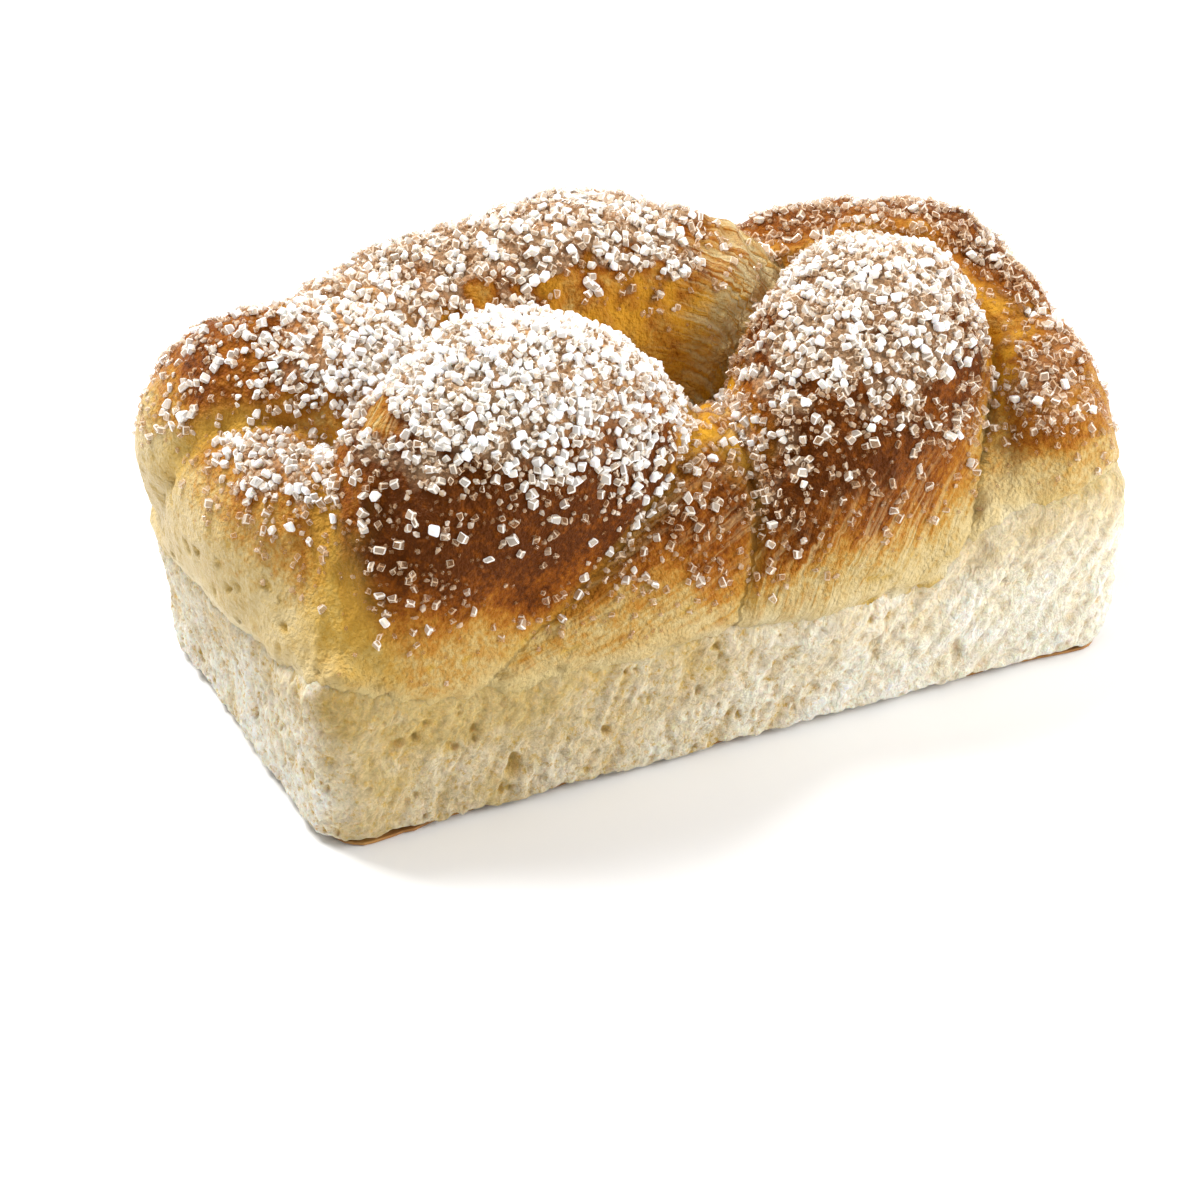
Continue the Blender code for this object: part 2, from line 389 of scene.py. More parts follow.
def addBump(tree, shader, height, bump):
    made = addNode(tree, "ShaderNodeBump", {"Height": height, **bump})
    tree.links.new(made.outputs["Normal"], shader.inputs["Normal"])


crustLook = {
    "browning": (
        (0.00, (0.62, 0.480, 0.235)),
        (0.15, (0.57, 0.405, 0.155)),
        (0.30, (0.51, 0.290, 0.070)),
        (0.45, (0.46, 0.205, 0.030)),
        (0.60, (0.36, 0.125, 0.012)),
        (0.80, (0.22, 0.056, 0.004)),
        (1.00, (0.09, 0.020, 0.002)),
    ),
    # golden dough deep in the creases, brightened as painted light, standing in for the light bounced into
    # them
    "innerCreaseGoldAndLit": (0.70, 0.345, 0.026),
    "outerCrease": (0.60, 0.37, 0.055),
    "tornPale": (0.73, 0.590, 0.330),
    "tornYellow": (0.64, 0.490, 0.220),
    "frayedPale": (0.84, 0.75, 0.53),
    "frayedYellow": (0.61, 0.48, 0.220),
    # pale caramel under the sugar heaps: partly melted sugar, partly painted light, standing in for the light
    # that the crystals let through into the gaps between them
    "meltedSugarAndPaintedLight": (0.88, 0.63, 0.37),
    "meltedLitGain": 2.0,  # it begins where the sugar's cover is above 0.6
    "meltedLitStart": -1.2,
    "meltedLitMost": 0.55,
    "glossTint": (1.0, 0.55, 0.22),
    "roughness": 0.34,
    "gloss": 0.18,
    "patches": (  # how much the browning varies from spot to spot
        ({"Scale": 210, "Detail": 5, "Roughness": 0.65}, 0.58),
        ({"Scale": 620, "Detail": 4, "Roughness": 0.6}, 0.75),
    ),
    "strandScale": (48, 560, 40),
    "strandNoise": {"Scale": 1, "Detail": 5, "Distortion": 0.9},
    "streaks": 1.1,
    "fibres": 4.0,  # pale threads where the dough was pulled
    "pebbleScale": 700,
    "pebbleHeight": 0.5,
    "wrinkles": {"Scale": 1100, "Detail": 4},
    "streakHeight": 1.7,
    "bump": {"Strength": 0.95, "Distance": 0.0013},
}


def makeCrustMaterial():
    made, tree, shader = startMaterial("brownedCrust", {
        "Roughness": crustLook["roughness"],
        "Specular IOR Level": crustLook["gloss"],
        "Specular Tint": (*crustLook["glossTint"], 1),
    })
    place = objectPlace(tree)
    strands = addNode(tree, "ShaderNodeMapping", {
        "Vector": attribute(tree, "strandPlace", "Vector"), "Scale": crustLook["strandScale"],
    })
    pull = aboutZero(tree, noiseTexture(tree, strands.outputs[0], crustLook["strandNoise"]))
    pull = calculate(tree, "MULTIPLY", attribute(tree, "stretch"), pull)
    brown = attribute(tree, "browning")
    for texture, strength in crustLook["patches"]:
        patchy = aboutZero(tree, noiseTexture(tree, place, texture))
        brown = calculate(tree, "MULTIPLY_ADD", patchy, strength, brown)
    brown = calculate(tree, "MULTIPLY_ADD", pull, crustLook["streaks"], brown, clamp=True)
    colour = ramp(tree, brown, crustLook["browning"])
    fibres = calculate(tree, "MULTIPLY_ADD", pull, -crustLook["fibres"], attribute(tree, "torn"), clamp=True)
    for amount, choice, first, second in (
        (attribute(tree, "golden"), "outer", "innerCreaseGoldAndLit", "outerCrease"),
        (fibres, "yolkAndShade", "tornPale", "tornYellow"),
        (attribute(tree, "frayed"), "yolkAndShade", "frayedPale", "frayedYellow"),
    ):
        tint = blendColours(tree, attribute(tree, choice), crustLook[first], crustLook[second])
        colour = blendColours(tree, amount, colour, tint)
    # partly melted sugar, partly painted light in the gaps under the heaps
    cover, gain, start = attribute(tree, "sugarCover"), crustLook["meltedLitGain"], crustLook["meltedLitStart"]
    meltedAndLit = calculate(tree, "MULTIPLY_ADD", cover, gain, start, clamp=True)
    meltedAndLit = calculate(tree, "MULTIPLY", meltedAndLit, crustLook["meltedLitMost"])
    colour = blendColours(tree, meltedAndLit, colour, crustLook["meltedSugarAndPaintedLight"])
    tree.links.new(colour, shader.inputs["Base Color"])
    pebbles = addNode(tree, "ShaderNodeTexVoronoi", {
        "Vector": place, "Scale": crustLook["pebbleScale"],
    }, feature="SMOOTH_F1").outputs["Distance"]
    wrinkles = noiseTexture(tree, place, crustLook["wrinkles"])
    height = calculate(tree, "MULTIPLY_ADD", pebbles, crustLook["pebbleHeight"], wrinkles)
    height = calculate(tree, "MULTIPLY_ADD", pull, crustLook["streakHeight"], height)
    addBump(tree, shader, height, crustLook["bump"])
    return made


crumbLook = {
    "bright": (0.92, 0.87, 0.75),
    # painted warm shade for the crumb's pits and hollows
    "pitShade": (0.60, 0.40, 0.115),
    "yellow": (0.58, 0.435, 0.19),
    "roughness": 0.85,
    "gloss": 0.2,
    "softness": 0.45,
    "softDepth": (0.0022, 0.0015, 0.0008),
    "grain": {"Scale": 1500, "Detail": 5, "Roughness": 0.7},
    "bubbles": {"Scale": 520, "Detail": 6, "Roughness": 0.75},
    "hollowGain": -8.0,
    "hollowStart": 3.85,
    "swirls": {"Scale": 120, "Detail": 2},
    "swirl": 0.012,
    "lean": 0.42,  # of the torn fibres, in radians
    "fibre": (0.0016, 0.0016, 0.0040),
    "fibreNoise": {"Scale": 1, "Detail": 5},
    "shade": 0.23,
    "shadeGrain": 0.8,
    "shadeFibre": 1.0,
    "bubbleHeight": 1.8,
    "grainHeight": 0.8,
    "fibreHeight": 2.3,
    "fibreHeightAiry": -1.4,
    "bump": {"Strength": 1.0, "Distance": 0.0012},
}


def makeCrumbMaterial():
    made, tree, shader = startMaterial("tornCrumb", {
        "Roughness": crumbLook["roughness"],
        "Specular IOR Level": crumbLook["gloss"],
        "Subsurface Weight": crumbLook["softness"],
        "Subsurface Radius": crumbLook["softDepth"],
        "Subsurface Scale": 1.0,
    })
    place = objectPlace(tree)
    airy = attribute(tree, "airy")
    grain = noiseTexture(tree, place, crumbLook["grain"])
    # mixed from bright to yellow: partly the crumb's own yolk yellow, partly painted shade at the front left
    colour = blendColours(tree, attribute(tree, "yolkAndShade"), crumbLook["bright"], crumbLook["yellow"])
    # small bubbles: painted warm shade in the hollows, bright on the walls between them
    bubbles = noiseTexture(tree, place, crumbLook["bubbles"])
    hollow = calculate(
        tree, "MULTIPLY_ADD", bubbles, crumbLook["hollowGain"], crumbLook["hollowStart"], clamp=True,
    )
    hollow = calculate(tree, "MULTIPLY_ADD", hollow, airy, attribute(tree, "pitShade"), clamp=True)
    colour = blendColours(tree, hollow, colour, crumbLook["pitShade"])
    swirl = noiseTexture(tree, place, crumbLook["swirls"], "Color")
    swirl = addNode(tree, "ShaderNodeVectorMath", {0: swirl, 3: crumbLook["swirl"]}, operation="SCALE")
    swirled = addNode(tree, "ShaderNodeVectorMath", {0: place, 1: swirl.outputs[0]}, operation="ADD")
    leaning = addNode(tree, "ShaderNodeMapping", {
        "Vector": swirled.outputs[0], "Rotation": (0, crumbLook["lean"], 0), "Scale": crumbLook["fibre"],
    }, vector_type="TEXTURE")
    fibre = noiseTexture(tree, leaning.outputs[0], crumbLook["fibreNoise"])
    # painted shade: the colour is darkened and lightened with the grain and the fibres, standing in for the
    # shading of the crumb's fine relief
    shade = calculate(tree, "MULTIPLY_ADD", grain, crumbLook["shadeGrain"], crumbLook["shade"])
    shade = calculate(tree, "MULTIPLY_ADD", fibre, crumbLook["shadeFibre"], shade)
    tinted = addNode(tree, "ShaderNodeVectorMath", {0: colour, "Scale": shade}, operation="SCALE")
    tree.links.new(tinted.outputs[0], shader.inputs["Base Color"])
    height = calculate(tree, "MULTIPLY", bubbles, airy)
    grainHeight = calculate(tree, "MULTIPLY", grain, crumbLook["grainHeight"])
    height = calculate(tree, "MULTIPLY_ADD", height, crumbLook["bubbleHeight"], grainHeight)
    ridges = calculate(tree, "MULTIPLY_ADD", airy, crumbLook["fibreHeightAiry"], crumbLook["fibreHeight"])
    height = calculate(tree, "MULTIPLY_ADD", fibre, ridges, height)
    addBump(tree, shader, height, crumbLook["bump"])
    return made


bottomLook = {
    "roughness": 0.6,
    "mottle": {"Scale": 90, "Detail": 6, "Roughness": 0.65},
    "browning": ((0.25, (0.50, 0.27, 0.07)), (0.5, (0.36, 0.16, 0.035)), (0.75, (0.20, 0.075, 0.014))),
    "bump": {"Strength": 0.5, "Distance": 0.001},
}


def makeBottomMaterial():
    made, tree, shader = startMaterial("bakedUnderside", {"Roughness": bottomLook["roughness"]})
    mottle = noiseTexture(tree, objectPlace(tree), bottomLook["mottle"])
    tree.links.new(ramp(tree, mottle, bottomLook["browning"]), shader.inputs["Base Color"])
    addBump(tree, shader, mottle, bottomLook["bump"])
    return made


sugarLook = {
    "roughness": 0.12,
    "refraction": 1.5,
    "glowDepth": (0.0016, 0.0013, 0.0010),
    "glintSpread": 0.44,  # painted glints and shade: each facet is painted a little lighter or darker than its crystal
    "glintShift": -0.24,
    "cloudGain": 1.1,  # the paler a crystal, the cloudier it is
    "cloudLeast": 0.42,
}


def makeSugarMaterial(name, layer):
    made, tree, shader = startMaterial(name, {
        "Roughness": sugarLook["roughness"],
        "IOR": sugarLook["refraction"],
        "Subsurface Weight": layer["glow"],
        "Subsurface Radius": sugarLook["glowDepth"],
        "Subsurface Scale": 1.0,
    })
    tone, rim = attribute(tree, "grainTone"), attribute(tree, "rim")
    glintAndRim = attribute(tree, "facetTone")
    glintAndRim = calculate(tree, "MULTIPLY_ADD", glintAndRim, sugarLook["glintSpread"], sugarLook["glintShift"])
    # painted highlight: the bevelled rims are coloured paler
    glintAndRim = calculate(tree, "MULTIPLY_ADD", rim, layer["rimPaintedHighlight"], glintAndRim)
    colour = ramp(tree, calculate(tree, "ADD", tone, glintAndRim, clamp=True), layer["tone"])
    tree.links.new(colour, shader.inputs["Base Color"])
    cloudGain, cloudLeast = (sugarLook[key] * layer["body"] for key in ("cloudGain", "cloudLeast"))
    cloudy = calculate(tree, "MULTIPLY_ADD", tone, cloudGain, cloudLeast)
    solid = calculate(tree, "MULTIPLY_ADD", rim, 1 - layer["body"], cloudy, clamp=True)
    tree.links.new(solid, shader.inputs["Alpha"])
    return made


# the browned crust: the braid above the torn edge

crust = {
    "voxel": 0.00208,  # before one subdivision
    "belowTear": 0.004,  # how far the skin runs down behind the crumb
    "spareBelow": 0.006,
    "settling": (0.9, 0.9, 0.9),  # share of the way to the dough's true surface, each time
    "tearRagged": 0.0024,
    "tearNoise": ((0.014, 3.1, 1.0), (0.0045, 7.7, 0.8)),
    "tearFlatness": (1, 1, 0.3),
    "mergeWithin": 2e-4,
    "lip": ((0.0014, -0.0002), (0.010, 0.004)),  # inwards and upwards, for each of its rows
    "lipReach": 0.07,
    "thinning": 0.0036,  # how far its edge sinks in
}


def ballMesh(kind, **sizes):
    built = bmesh.new()
    getattr(bmesh.ops, kind)(built, **sizes)
    points = np.array([v.co[:] for v in built.verts])
    faces = [[v.index for v in f.verts] for f in built.faces]
    built.free()
    return points, faces


def roughDough():
    ball, ballFaces = ballMesh("create_icosphere", subdivisions=3, radius=1)
    links = [link for thread in threads for link in zip(thread["centres"], thread["axes"])]
    points = [ball @ axes.T + centre for centre, axes in links]
    faces = [[k + number * len(ball) for k in face] for number in range(len(links)) for face in ballFaces]
    box, boxFaces = ballMesh("create_cube", size=1)
    core = np.array([2 * dough["baseHalfLength"], 2 * dough["baseHalfWidth"], dough["baseHeight"]])
    points.append(box * core + (dough["baseOffset"], 0, dough["baseHeight"] / 2))
    faces += [[k + len(links) * len(ball) for k in face] for face in boxFaces]
    mesh = bpy.data.meshes.new("roughDough")
    mesh.from_pydata(np.vstack(points), [], faces)
    item = addObject("roughDough", mesh)
    skin = item.modifiers.new("skin", "REMESH")
    skin.mode = "VOXEL"
    skin.voxel_size = crust["voxel"]
    return baked(item)


def raggedTear(points):
    ripple = crust["tearRagged"] * layeredNoise(points * crust["tearFlatness"], crust["tearNoise"])
    return heightOf(tearLine, points) - crust["belowTear"] + ripple


def cutAtTear(mesh):
    built = bmesh.new()
    built.from_mesh(mesh)
    points = np.array([v.co for v in built.verts])
    low = points[:, 2] < heightOf(tearLine, points) - crust["belowTear"] - crust["spareBelow"]
    bmesh.ops.delete(built, geom=[v for v, gone in zip(built.verts, low) if gone], context="VERTS")
    points = np.array([v.co for v in built.verts])
    for part in crust["settling"]:
        distance, outward = slopeOfDough(points)
        points -= outward * distance[:, None] * part
    # measured from the ragged tear, the cut is a level one
    for v, point, height in zip(built.verts, points, raggedTear(points)):
        v.co = (point[0], point[1], point[2] - height)
    everything = built.verts[:] + built.edges[:] + built.faces[:]
    bmesh.ops.bisect_plane(
        built, geom=everything, dist=1e-5, plane_co=(0, 0, 0), plane_no=(0, 0, 1), clear_inner=True,
    )
    bmesh.ops.remove_doubles(built, verts=built.verts[:], dist=crust["mergeWithin"])
    points = np.array([v.co for v in built.verts])
    for v, height in zip(built.verts, raggedTear(points)):
        v.co.z += height
    # a thin lip, turned in under the skin and closed
    rim = [e for e in built.edges if e.is_boundary]
    for inset, lift in crust["lip"]:
        grown = bmesh.ops.extrude_edge_only(built, edges=rim)["geom"]
        for v in (g for g in grown if isinstance(g, bmesh.types.BMVert)):
            middle = Vector((max(-crust["lipReach"], min(crust["lipReach"], v.co.x)), 0, v.co.z))
            v.co += (middle - v.co).normalized() * inset + Vector((0, 0, lift))
        rim = [g for g in grown if isinstance(g, bmesh.types.BMEdge)]
    built.to_mesh(mesh)
    built.free()
    return mesh


def closeRims(mesh):
    built = bmesh.new()
    built.from_mesh(mesh)
    bmesh.ops.holes_fill(built, edges=[e for e in built.edges if e.is_boundary], sides=0)
    bmesh.ops.recalc_face_normals(built, faces=built.faces[:])
    built.to_mesh(mesh)
    built.free()


# each look is spread over a surface by rules: an amount, the lobes that it is for, what else it is
# multiplied by, and the ranges over which it sets in, or ends where a range runs downwards

def perLobe(table, owner):
    return np.array([table.get(name, 0.0) for name in lobes])[owner]


def spread(skin, rule):
    amount = rule.get("amount", 1)
    for name, setting in rule.items():
        if name == "lobes":
            amount = amount * perLobe(setting, skin["owner"])
        elif name == "times":
            for other in setting:
                amount = amount * skin[other]
        elif name != "amount":
            start, end = setting
            fade = smoothStep(start, end, skin[name]) if start < end else fadeOut(end, start, skin[name])
            amount = amount * fade
    return amount


def spreadAll(skin, rules):
    return sum(spread(skin, rule) for rule in rules)


def lessen(skin, values, rules):
    for rule in rules:
        values = values * (1 - spread(skin, rule))
    return values


def measure(points, normals):
    return {
        "points": points,
        "along": points[:, 0],
        "across": points[:, 1],
        "high": points[:, 2],
        "tear": points[:, 2] - heightOf(tearLine, points),
        "leftward": -normals[:, 0],
        "frontward": -normals[:, 1],
        "upward": normals[:, 2],
    }


yolkAndShadeTone = {  # how yellow and dark the crumb and the skin's torn edge are, from 0 to 1: their own yolk yellow near the tear and in patches, and painted shade, darker at the front left and paler towards the right end, where the light falls
    "everywhere": 0.20,
    "rules": (
        # painted shade and light: yellower and darker on the long front towards the left, a little paler on
        # the left end, paler towards the right end, where the light falls
        {"amount": 0.56, "along": (0.05, -0.10), "frontward": (0.3, 0.8)},
        {"amount": -0.08, "leftward": (0.3, 0.8)},
        {"amount": -0.10, "along": (-0.06, 0.065)},
        {"amount": 0.32, "tear": (-0.020, -0.001)},
        {"amount": -0.06, "tear": (-0.020, -0.001), "along": (-0.06, 0.065)},
        {"amount": 0.42, "tear": (-0.020, -0.001), "along": (0.040, 0.105)},
    ),
    "patches": ((0.012, 13.0, 0.32), (0.004, 16.0, 0.18)),
}


def yolkAndShadeAt(points, normals):
    yolkAndShade = yolkAndShadeTone["everywhere"] + spreadAll(measure(points, normals), yolkAndShadeTone["rules"])
    return np.clip(yolkAndShade + layeredNoise(points, yolkAndShadeTone["patches"]), 0, 1)


survey = {
    "noises": {"broad": 0.022, "middling": 0.011, "fine": 0.005},
    "swayed": {  # measures made from another one, with a little of the noises added
        "up": ("aboveFade", {"broad": 0.004, "middling": 0.003}),
        "rise": ("high", {"middling": 0.010, "fine": 0.005}),
        "swayedShare": ("share", {"middling": 0.05}),
        "underFacing": ("upward", {"fine": 0.10}),
        "heapFacing": ("upward", {"broad": 0.20, "middling": 0.16, "fine": 0.08}),
        "bareEdge": ("tear", {"broad": 0.005, "middling": 0.004, "fine": 0.003}),
        "frayedEdge": ("tear", {"middling": 0.004, "fine": 0.005}),
    },
    "lobeStep": 0.1,  # keeps one lobe's streaks clear of the next one's
    "underTilt": {"backLeft": 0.15, "backMiddle": 0.20, "backRight": 0.16},
    "features": {
        "interior": {"inward": (0.008, 0.022)},
        "inCrease": {"gap": (0.012, 0.0005), "times": ("interior",)},
        "leftSide": {"along": (-0.055, -0.075)},
        "farRight": {"along": (0.070, 0.105)},
        "overhung": {  # the rough golden dough under the back lobes: partly its own colour, partly painted light, kept light where the lobes shade it
            "lobes": {"backLeft": 0.6, "backMiddle": 1, "backRight": 1},
            "frontward": (0.1, 0.4), "underFacing": (0.50, 0.22), "times": ("interior",),
        },
    },
    "pores": (0.36, 0.58),  # small ones in the pale skin
    "poreNoise": (0.0045, 31.0),
    "poreFlatness": (1, 1, 1.6),
}


def uneven(skin, values, sway):
    return values + sum(part * skin[name] for name, part in sway.items())


def followLobes(skin):
    points = skin["points"]
    found = [nearestLinks(points, thread) for thread in threads]
    distances = np.array([distance for distance, _ in found])
    order = np.argsort(distances, axis=0)
    rows = np.arange(len(points))
    skin["owner"] = order[0]
    skin["gap"] = distances[order[1], rows] - distances[order[0], rows]
    skin["share"] = np.zeros(len(points))  # how far along its lobe a point lies
    skin["strandPlace"] = np.zeros((len(points), 3))
    for number, (thread, (_, link)) in enumerate(zip(threads, found)):
        mine = np.flatnonzero(skin["owner"] == number)
        links = link[mine]
        offset = points[mine] - thread["centres"][links]
        local = np.einsum("nij,nj->ni", thread["inverses"][links], offset)
        ahead = thread["axes"][links][:, :, 0]
        ahead /= np.linalg.norm(ahead, axis=1, keepdims=True)
        run = thread["stops"][links] + np.einsum("ni,ni->n", offset, ahead)
        girth = np.arctan2(local[:, 1], local[:, 2]) * thread["thinnest"].max()
        step = np.full(len(run), number * survey["lobeStep"])
        skin["strandPlace"][mine] = np.column_stack([run, girth, step])
        skin["share"][mine] = run / thread["stops"][-1]


def surveySkin(mesh):
    points, normals = getPoints(mesh), getNormals(mesh)
    skin = {**measure(points, normals), "normals": normals}
    followLobes(skin)
    skin["aboveFade"] = points[:, 2] - heightOf(fadeLine, points)
    skin["inward"] = np.minimum(
        dough["baseHalfLength"] - np.abs(points[:, 0] - dough["baseOffset"]),
        dough["baseHalfWidth"] - np.abs(points[:, 1]),
    )
    for name, size in survey["noises"].items():
        skin[name] = noiseAt(points, size, size * 100)
    for name, (source, sway) in survey["swayed"].items():
        skin[name] = uneven(skin, skin[source], sway)
    skin["underFacing"] -= perLobe(survey["underTilt"], skin["owner"])
    for name, rule in survey["features"].items():
        skin[name] = spread(skin, rule)
    pores = noiseAt(points * survey["poreFlatness"], *survey["poreNoise"])
    skin["pores"] = smoothStep(*survey["pores"], pores)
    return skin


pulled = {  # dough drawn out into streaks
    "starts": {"backMiddle": 0.74, "backLeft": 0.72, "frontLeft": 0.88},  # as a share of each lobe
    "blend": 0.12,
    "throughout": {"frontTuck": 0.4},
    "lowDown": {"lobes": {"frontRight": 0.6}, "up": (0.026, 0.006)},
    "onBareSpot": 0.9,
}


def findPulled(skin):
    stretch = perLobe(pulled["throughout"], skin["owner"])
    for name, start in pulled["starts"].items():
        mine = skin["owner"] == list(lobes).index(name)
        ends = (start - pulled["blend"], start + pulled["blend"])
        stretch[mine] = smoothStep(*ends, skin["swayedShare"][mine])
    return np.maximum(stretch, spread(skin, pulled["lowDown"]))


sideCreases = {  # beside the large front lobe, golden down to the skin's edge
    "core": 0.0006,
    "width": 0.0036,
    "widthLeft": 0.0012,
    "strength": 0.35,
    "strengthLeft": 0.65,
    "ends": {"up": (-0.014, -0.002)},
}


def findSideCreases(skin):
    width = sideCreases["width"] + sideCreases["widthLeft"] * skin["leftSide"]
    line = fadeOut(sideCreases["core"], width, skin["gap"]) * (1 - skin["interior"])
    strength = sideCreases["strength"] + sideCreases["strengthLeft"] * skin["leftSide"]
    return line * strength * spread(skin, sideCreases["ends"])


seamLine = {  # a yellow line just above the tear, strongest in the middle of the front
    "height": 0.003,
    "width": 0.0022,
    "patches": {"middling": (-0.12, 0.28)},
    "strength": 0.4,
    "middle": {"amount": 0.6, "along": (-0.010, 0.015)},
    "middleEnd": {"along": (0.080, 0.055)},
}


def findSeam(skin):
    seam = np.exp(-(((skin["tear"] - seamLine["height"]) / seamLine["width"]) ** 2))
    middle = spread(skin, seamLine["middle"]) * spread(skin, seamLine["middleEnd"])
    return seam * spread(skin, seamLine["patches"]) * (seamLine["strength"] + middle)


barePatch = {  # torn dough that shows on the large front lobe's left shoulder
    "middle": (-0.087, -0.031, 0.104),
    "radii": (0.0055, 0.011, 0.013),
    "edge": (0.45, 1.05),
    "sway": {"middling": 0.45, "fine": 0.35},
}

sugarPatch = {  # fine sugar on the right shoulder of the lobe at the front right
    "middle": (0.064, -0.050, 0.077),
    "radii": (0.015, 0.020, 0.013),
    "edge": (0.4, 1.0),
    "gaps": (-0.35, 0.25),
    "cover": 0.62,
}


def reachFrom(skin, patch):
    return np.linalg.norm((skin["points"] - patch["middle"]) / patch["radii"], axis=1)


def findBareSpot(skin):
    return fadeOut(*barePatch["edge"], uneven(skin, reachFrom(skin, barePatch), barePatch["sway"]))


baking = {
    "rules": ({"amount": 0.55, "up": (-0.010, 0.011)}, {"amount": 0.40, "up": (0.002, 0.026)}),
    "lobes": {
        "backLeft": 0.84, "leftEnd": 0.88, "frontLeft": 1.10, "frontTuck": 0.90,
        "frontRight": 1.04, "rightEnd": 0.80, "backMiddle": 1.0, "backRight": 0.90,
    },
    "losses": (
        {"amount": 0.40, "times": ("inCrease",)},
        # the back left lobe's low flank is browned less: partly its own paler colour, partly painted light
        # where its belly shades it
        {"amount": 0.75, "lobes": {"backLeft": 1, "leftEnd": 0.3}, "high": (0.097, 0.072)},
        # less browned under the back lobes: partly the dough's own colour, partly painted light in their
        # shadow
        {"amount": 0.45, "times": ("overhung",)},
        {"amount": 0.42, "lobes": {"frontLeft": 1}, "share": (0.30, 0.62), "upward": (0.25, 0.65)},
    ),
    "least": 0.03,
    "leastFrontLeft": {"amount": 0.22, "along": (0.05, 0.01), "frontward": (0.2, 0.7)},
    "patches": (
        {"amount": 0.12, "times": ("broad",), "up": (-0.004, 0.01)},
        {"amount": 0.15, "times": ("middling",), "up": (-0.004, 0.01)},
        {"amount": 0.05, "times": ("fine",)},
    ),
    "pulledLoss": {"amount": 0.58, "times": ("pulled",), "pulled": (0.45, 0.8)},
    "leastFarRight": {"amount": 0.24, "times": ("farRight",)},
    "bareSpotLoss": {"amount": 0.60, "times": ("bareSpot",)},
}


def browningOf(skin):
    brown = spreadAll(skin, baking["rules"]) * perLobe(baking["lobes"], skin["owner"])
    brown = lessen(skin, brown, baking["losses"])
    brown = np.maximum(brown, baking["least"] + spread(skin, baking["leastFrontLeft"]))
    brown += spreadAll(skin, baking["patches"])
    brown = lessen(skin, brown, [baking["pulledLoss"]])
    brown = np.maximum(brown, spread(skin, baking["leastFarRight"]))
    return np.clip(lessen(skin, brown, [baking["bareSpotLoss"]]), 0, 1)


goldenParts = {
    "valley": 1.2,
    "patches": 0.65,
    "patchSway": {"middling": 1.3, "fine": 1.8},
    "mostPatchy": 1.25,
    "rules": (
        {"times": ("valley", "patchy"), "high": (0.100, 0.078)},
        {"times": ("seam",)},
        {"amount": 0.6, "times": ("sideCrease",)},
        # golden under the back lobes: partly the dough's own colour, partly painted light in their shadow
        {"amount": 0.55, "times": ("overhung", "patchy")},
        {"amount": 0.7, "times": ("pores",), "up": (0.006, -0.004)},
    ),
}


def goldenOf(skin):
    # deep creases are golden: partly the dough's own colour, partly painted light, brightened where little
    # light reaches
    skin["valley"] = np.clip(skin["inCrease"] * goldenParts["valley"], 0, 1)
    patchy = uneven(skin, goldenParts["patches"], goldenParts["patchSway"])
    skin["patchy"] = np.clip(patchy, 0.0, goldenParts["mostPatchy"])
    return np.clip(np.max([spread(skin, rule) for rule in goldenParts["rules"]], axis=0), 0, 1)


tearing = {
    "bare": {"amount": 0.9, "bareEdge": (0.016, 0.000)},
    "seamLoss": {"amount": 0.8, "times": ("seam",)},
    "farRightLoss": {"amount": 0.85, "times": ("farRight",)},
    "drawn": (  # pale threads where the dough is drawn out
        {"lobes": {"backMiddle": 0.25, "backLeft": 0.15}, "stretch": (0.5, 1.0)},
        {"lobes": {"backMiddle": 0.40}, "share": (0.74, 0.86), "upward": (0.2, 0.6)},
    ),
    "drawnPatches": 0.8,
    "drawnSway": {"fine": 0.6},
    "frayed": 0.9,
    "frayedFrom": 0.001,
    "frayedTo": 0.0080,
    "frayedFarRight": 0.0014,
    "frayedThreads": ((0.0019, 51.0, 0.0022),),
}


def tornOf(skin):
    torn = lessen(skin, spread(skin, tearing["bare"]), [tearing["farRightLoss"], tearing["seamLoss"]])
    patches = uneven(skin, tearing["drawnPatches"], tearing["drawnSway"])
    return np.maximum(torn, spreadAll(skin, tearing["drawn"]) * patches)


def frayedOf(skin):
    edge = skin["frayedEdge"] + layeredNoise(skin["points"], tearing["frayedThreads"])
    top = tearing["frayedTo"] - tearing["frayedFarRight"] * skin["farRight"]
    return lessen(skin, tearing["frayed"] * fadeOut(tearing["frayedFrom"], top, edge), [tearing["seamLoss"]])


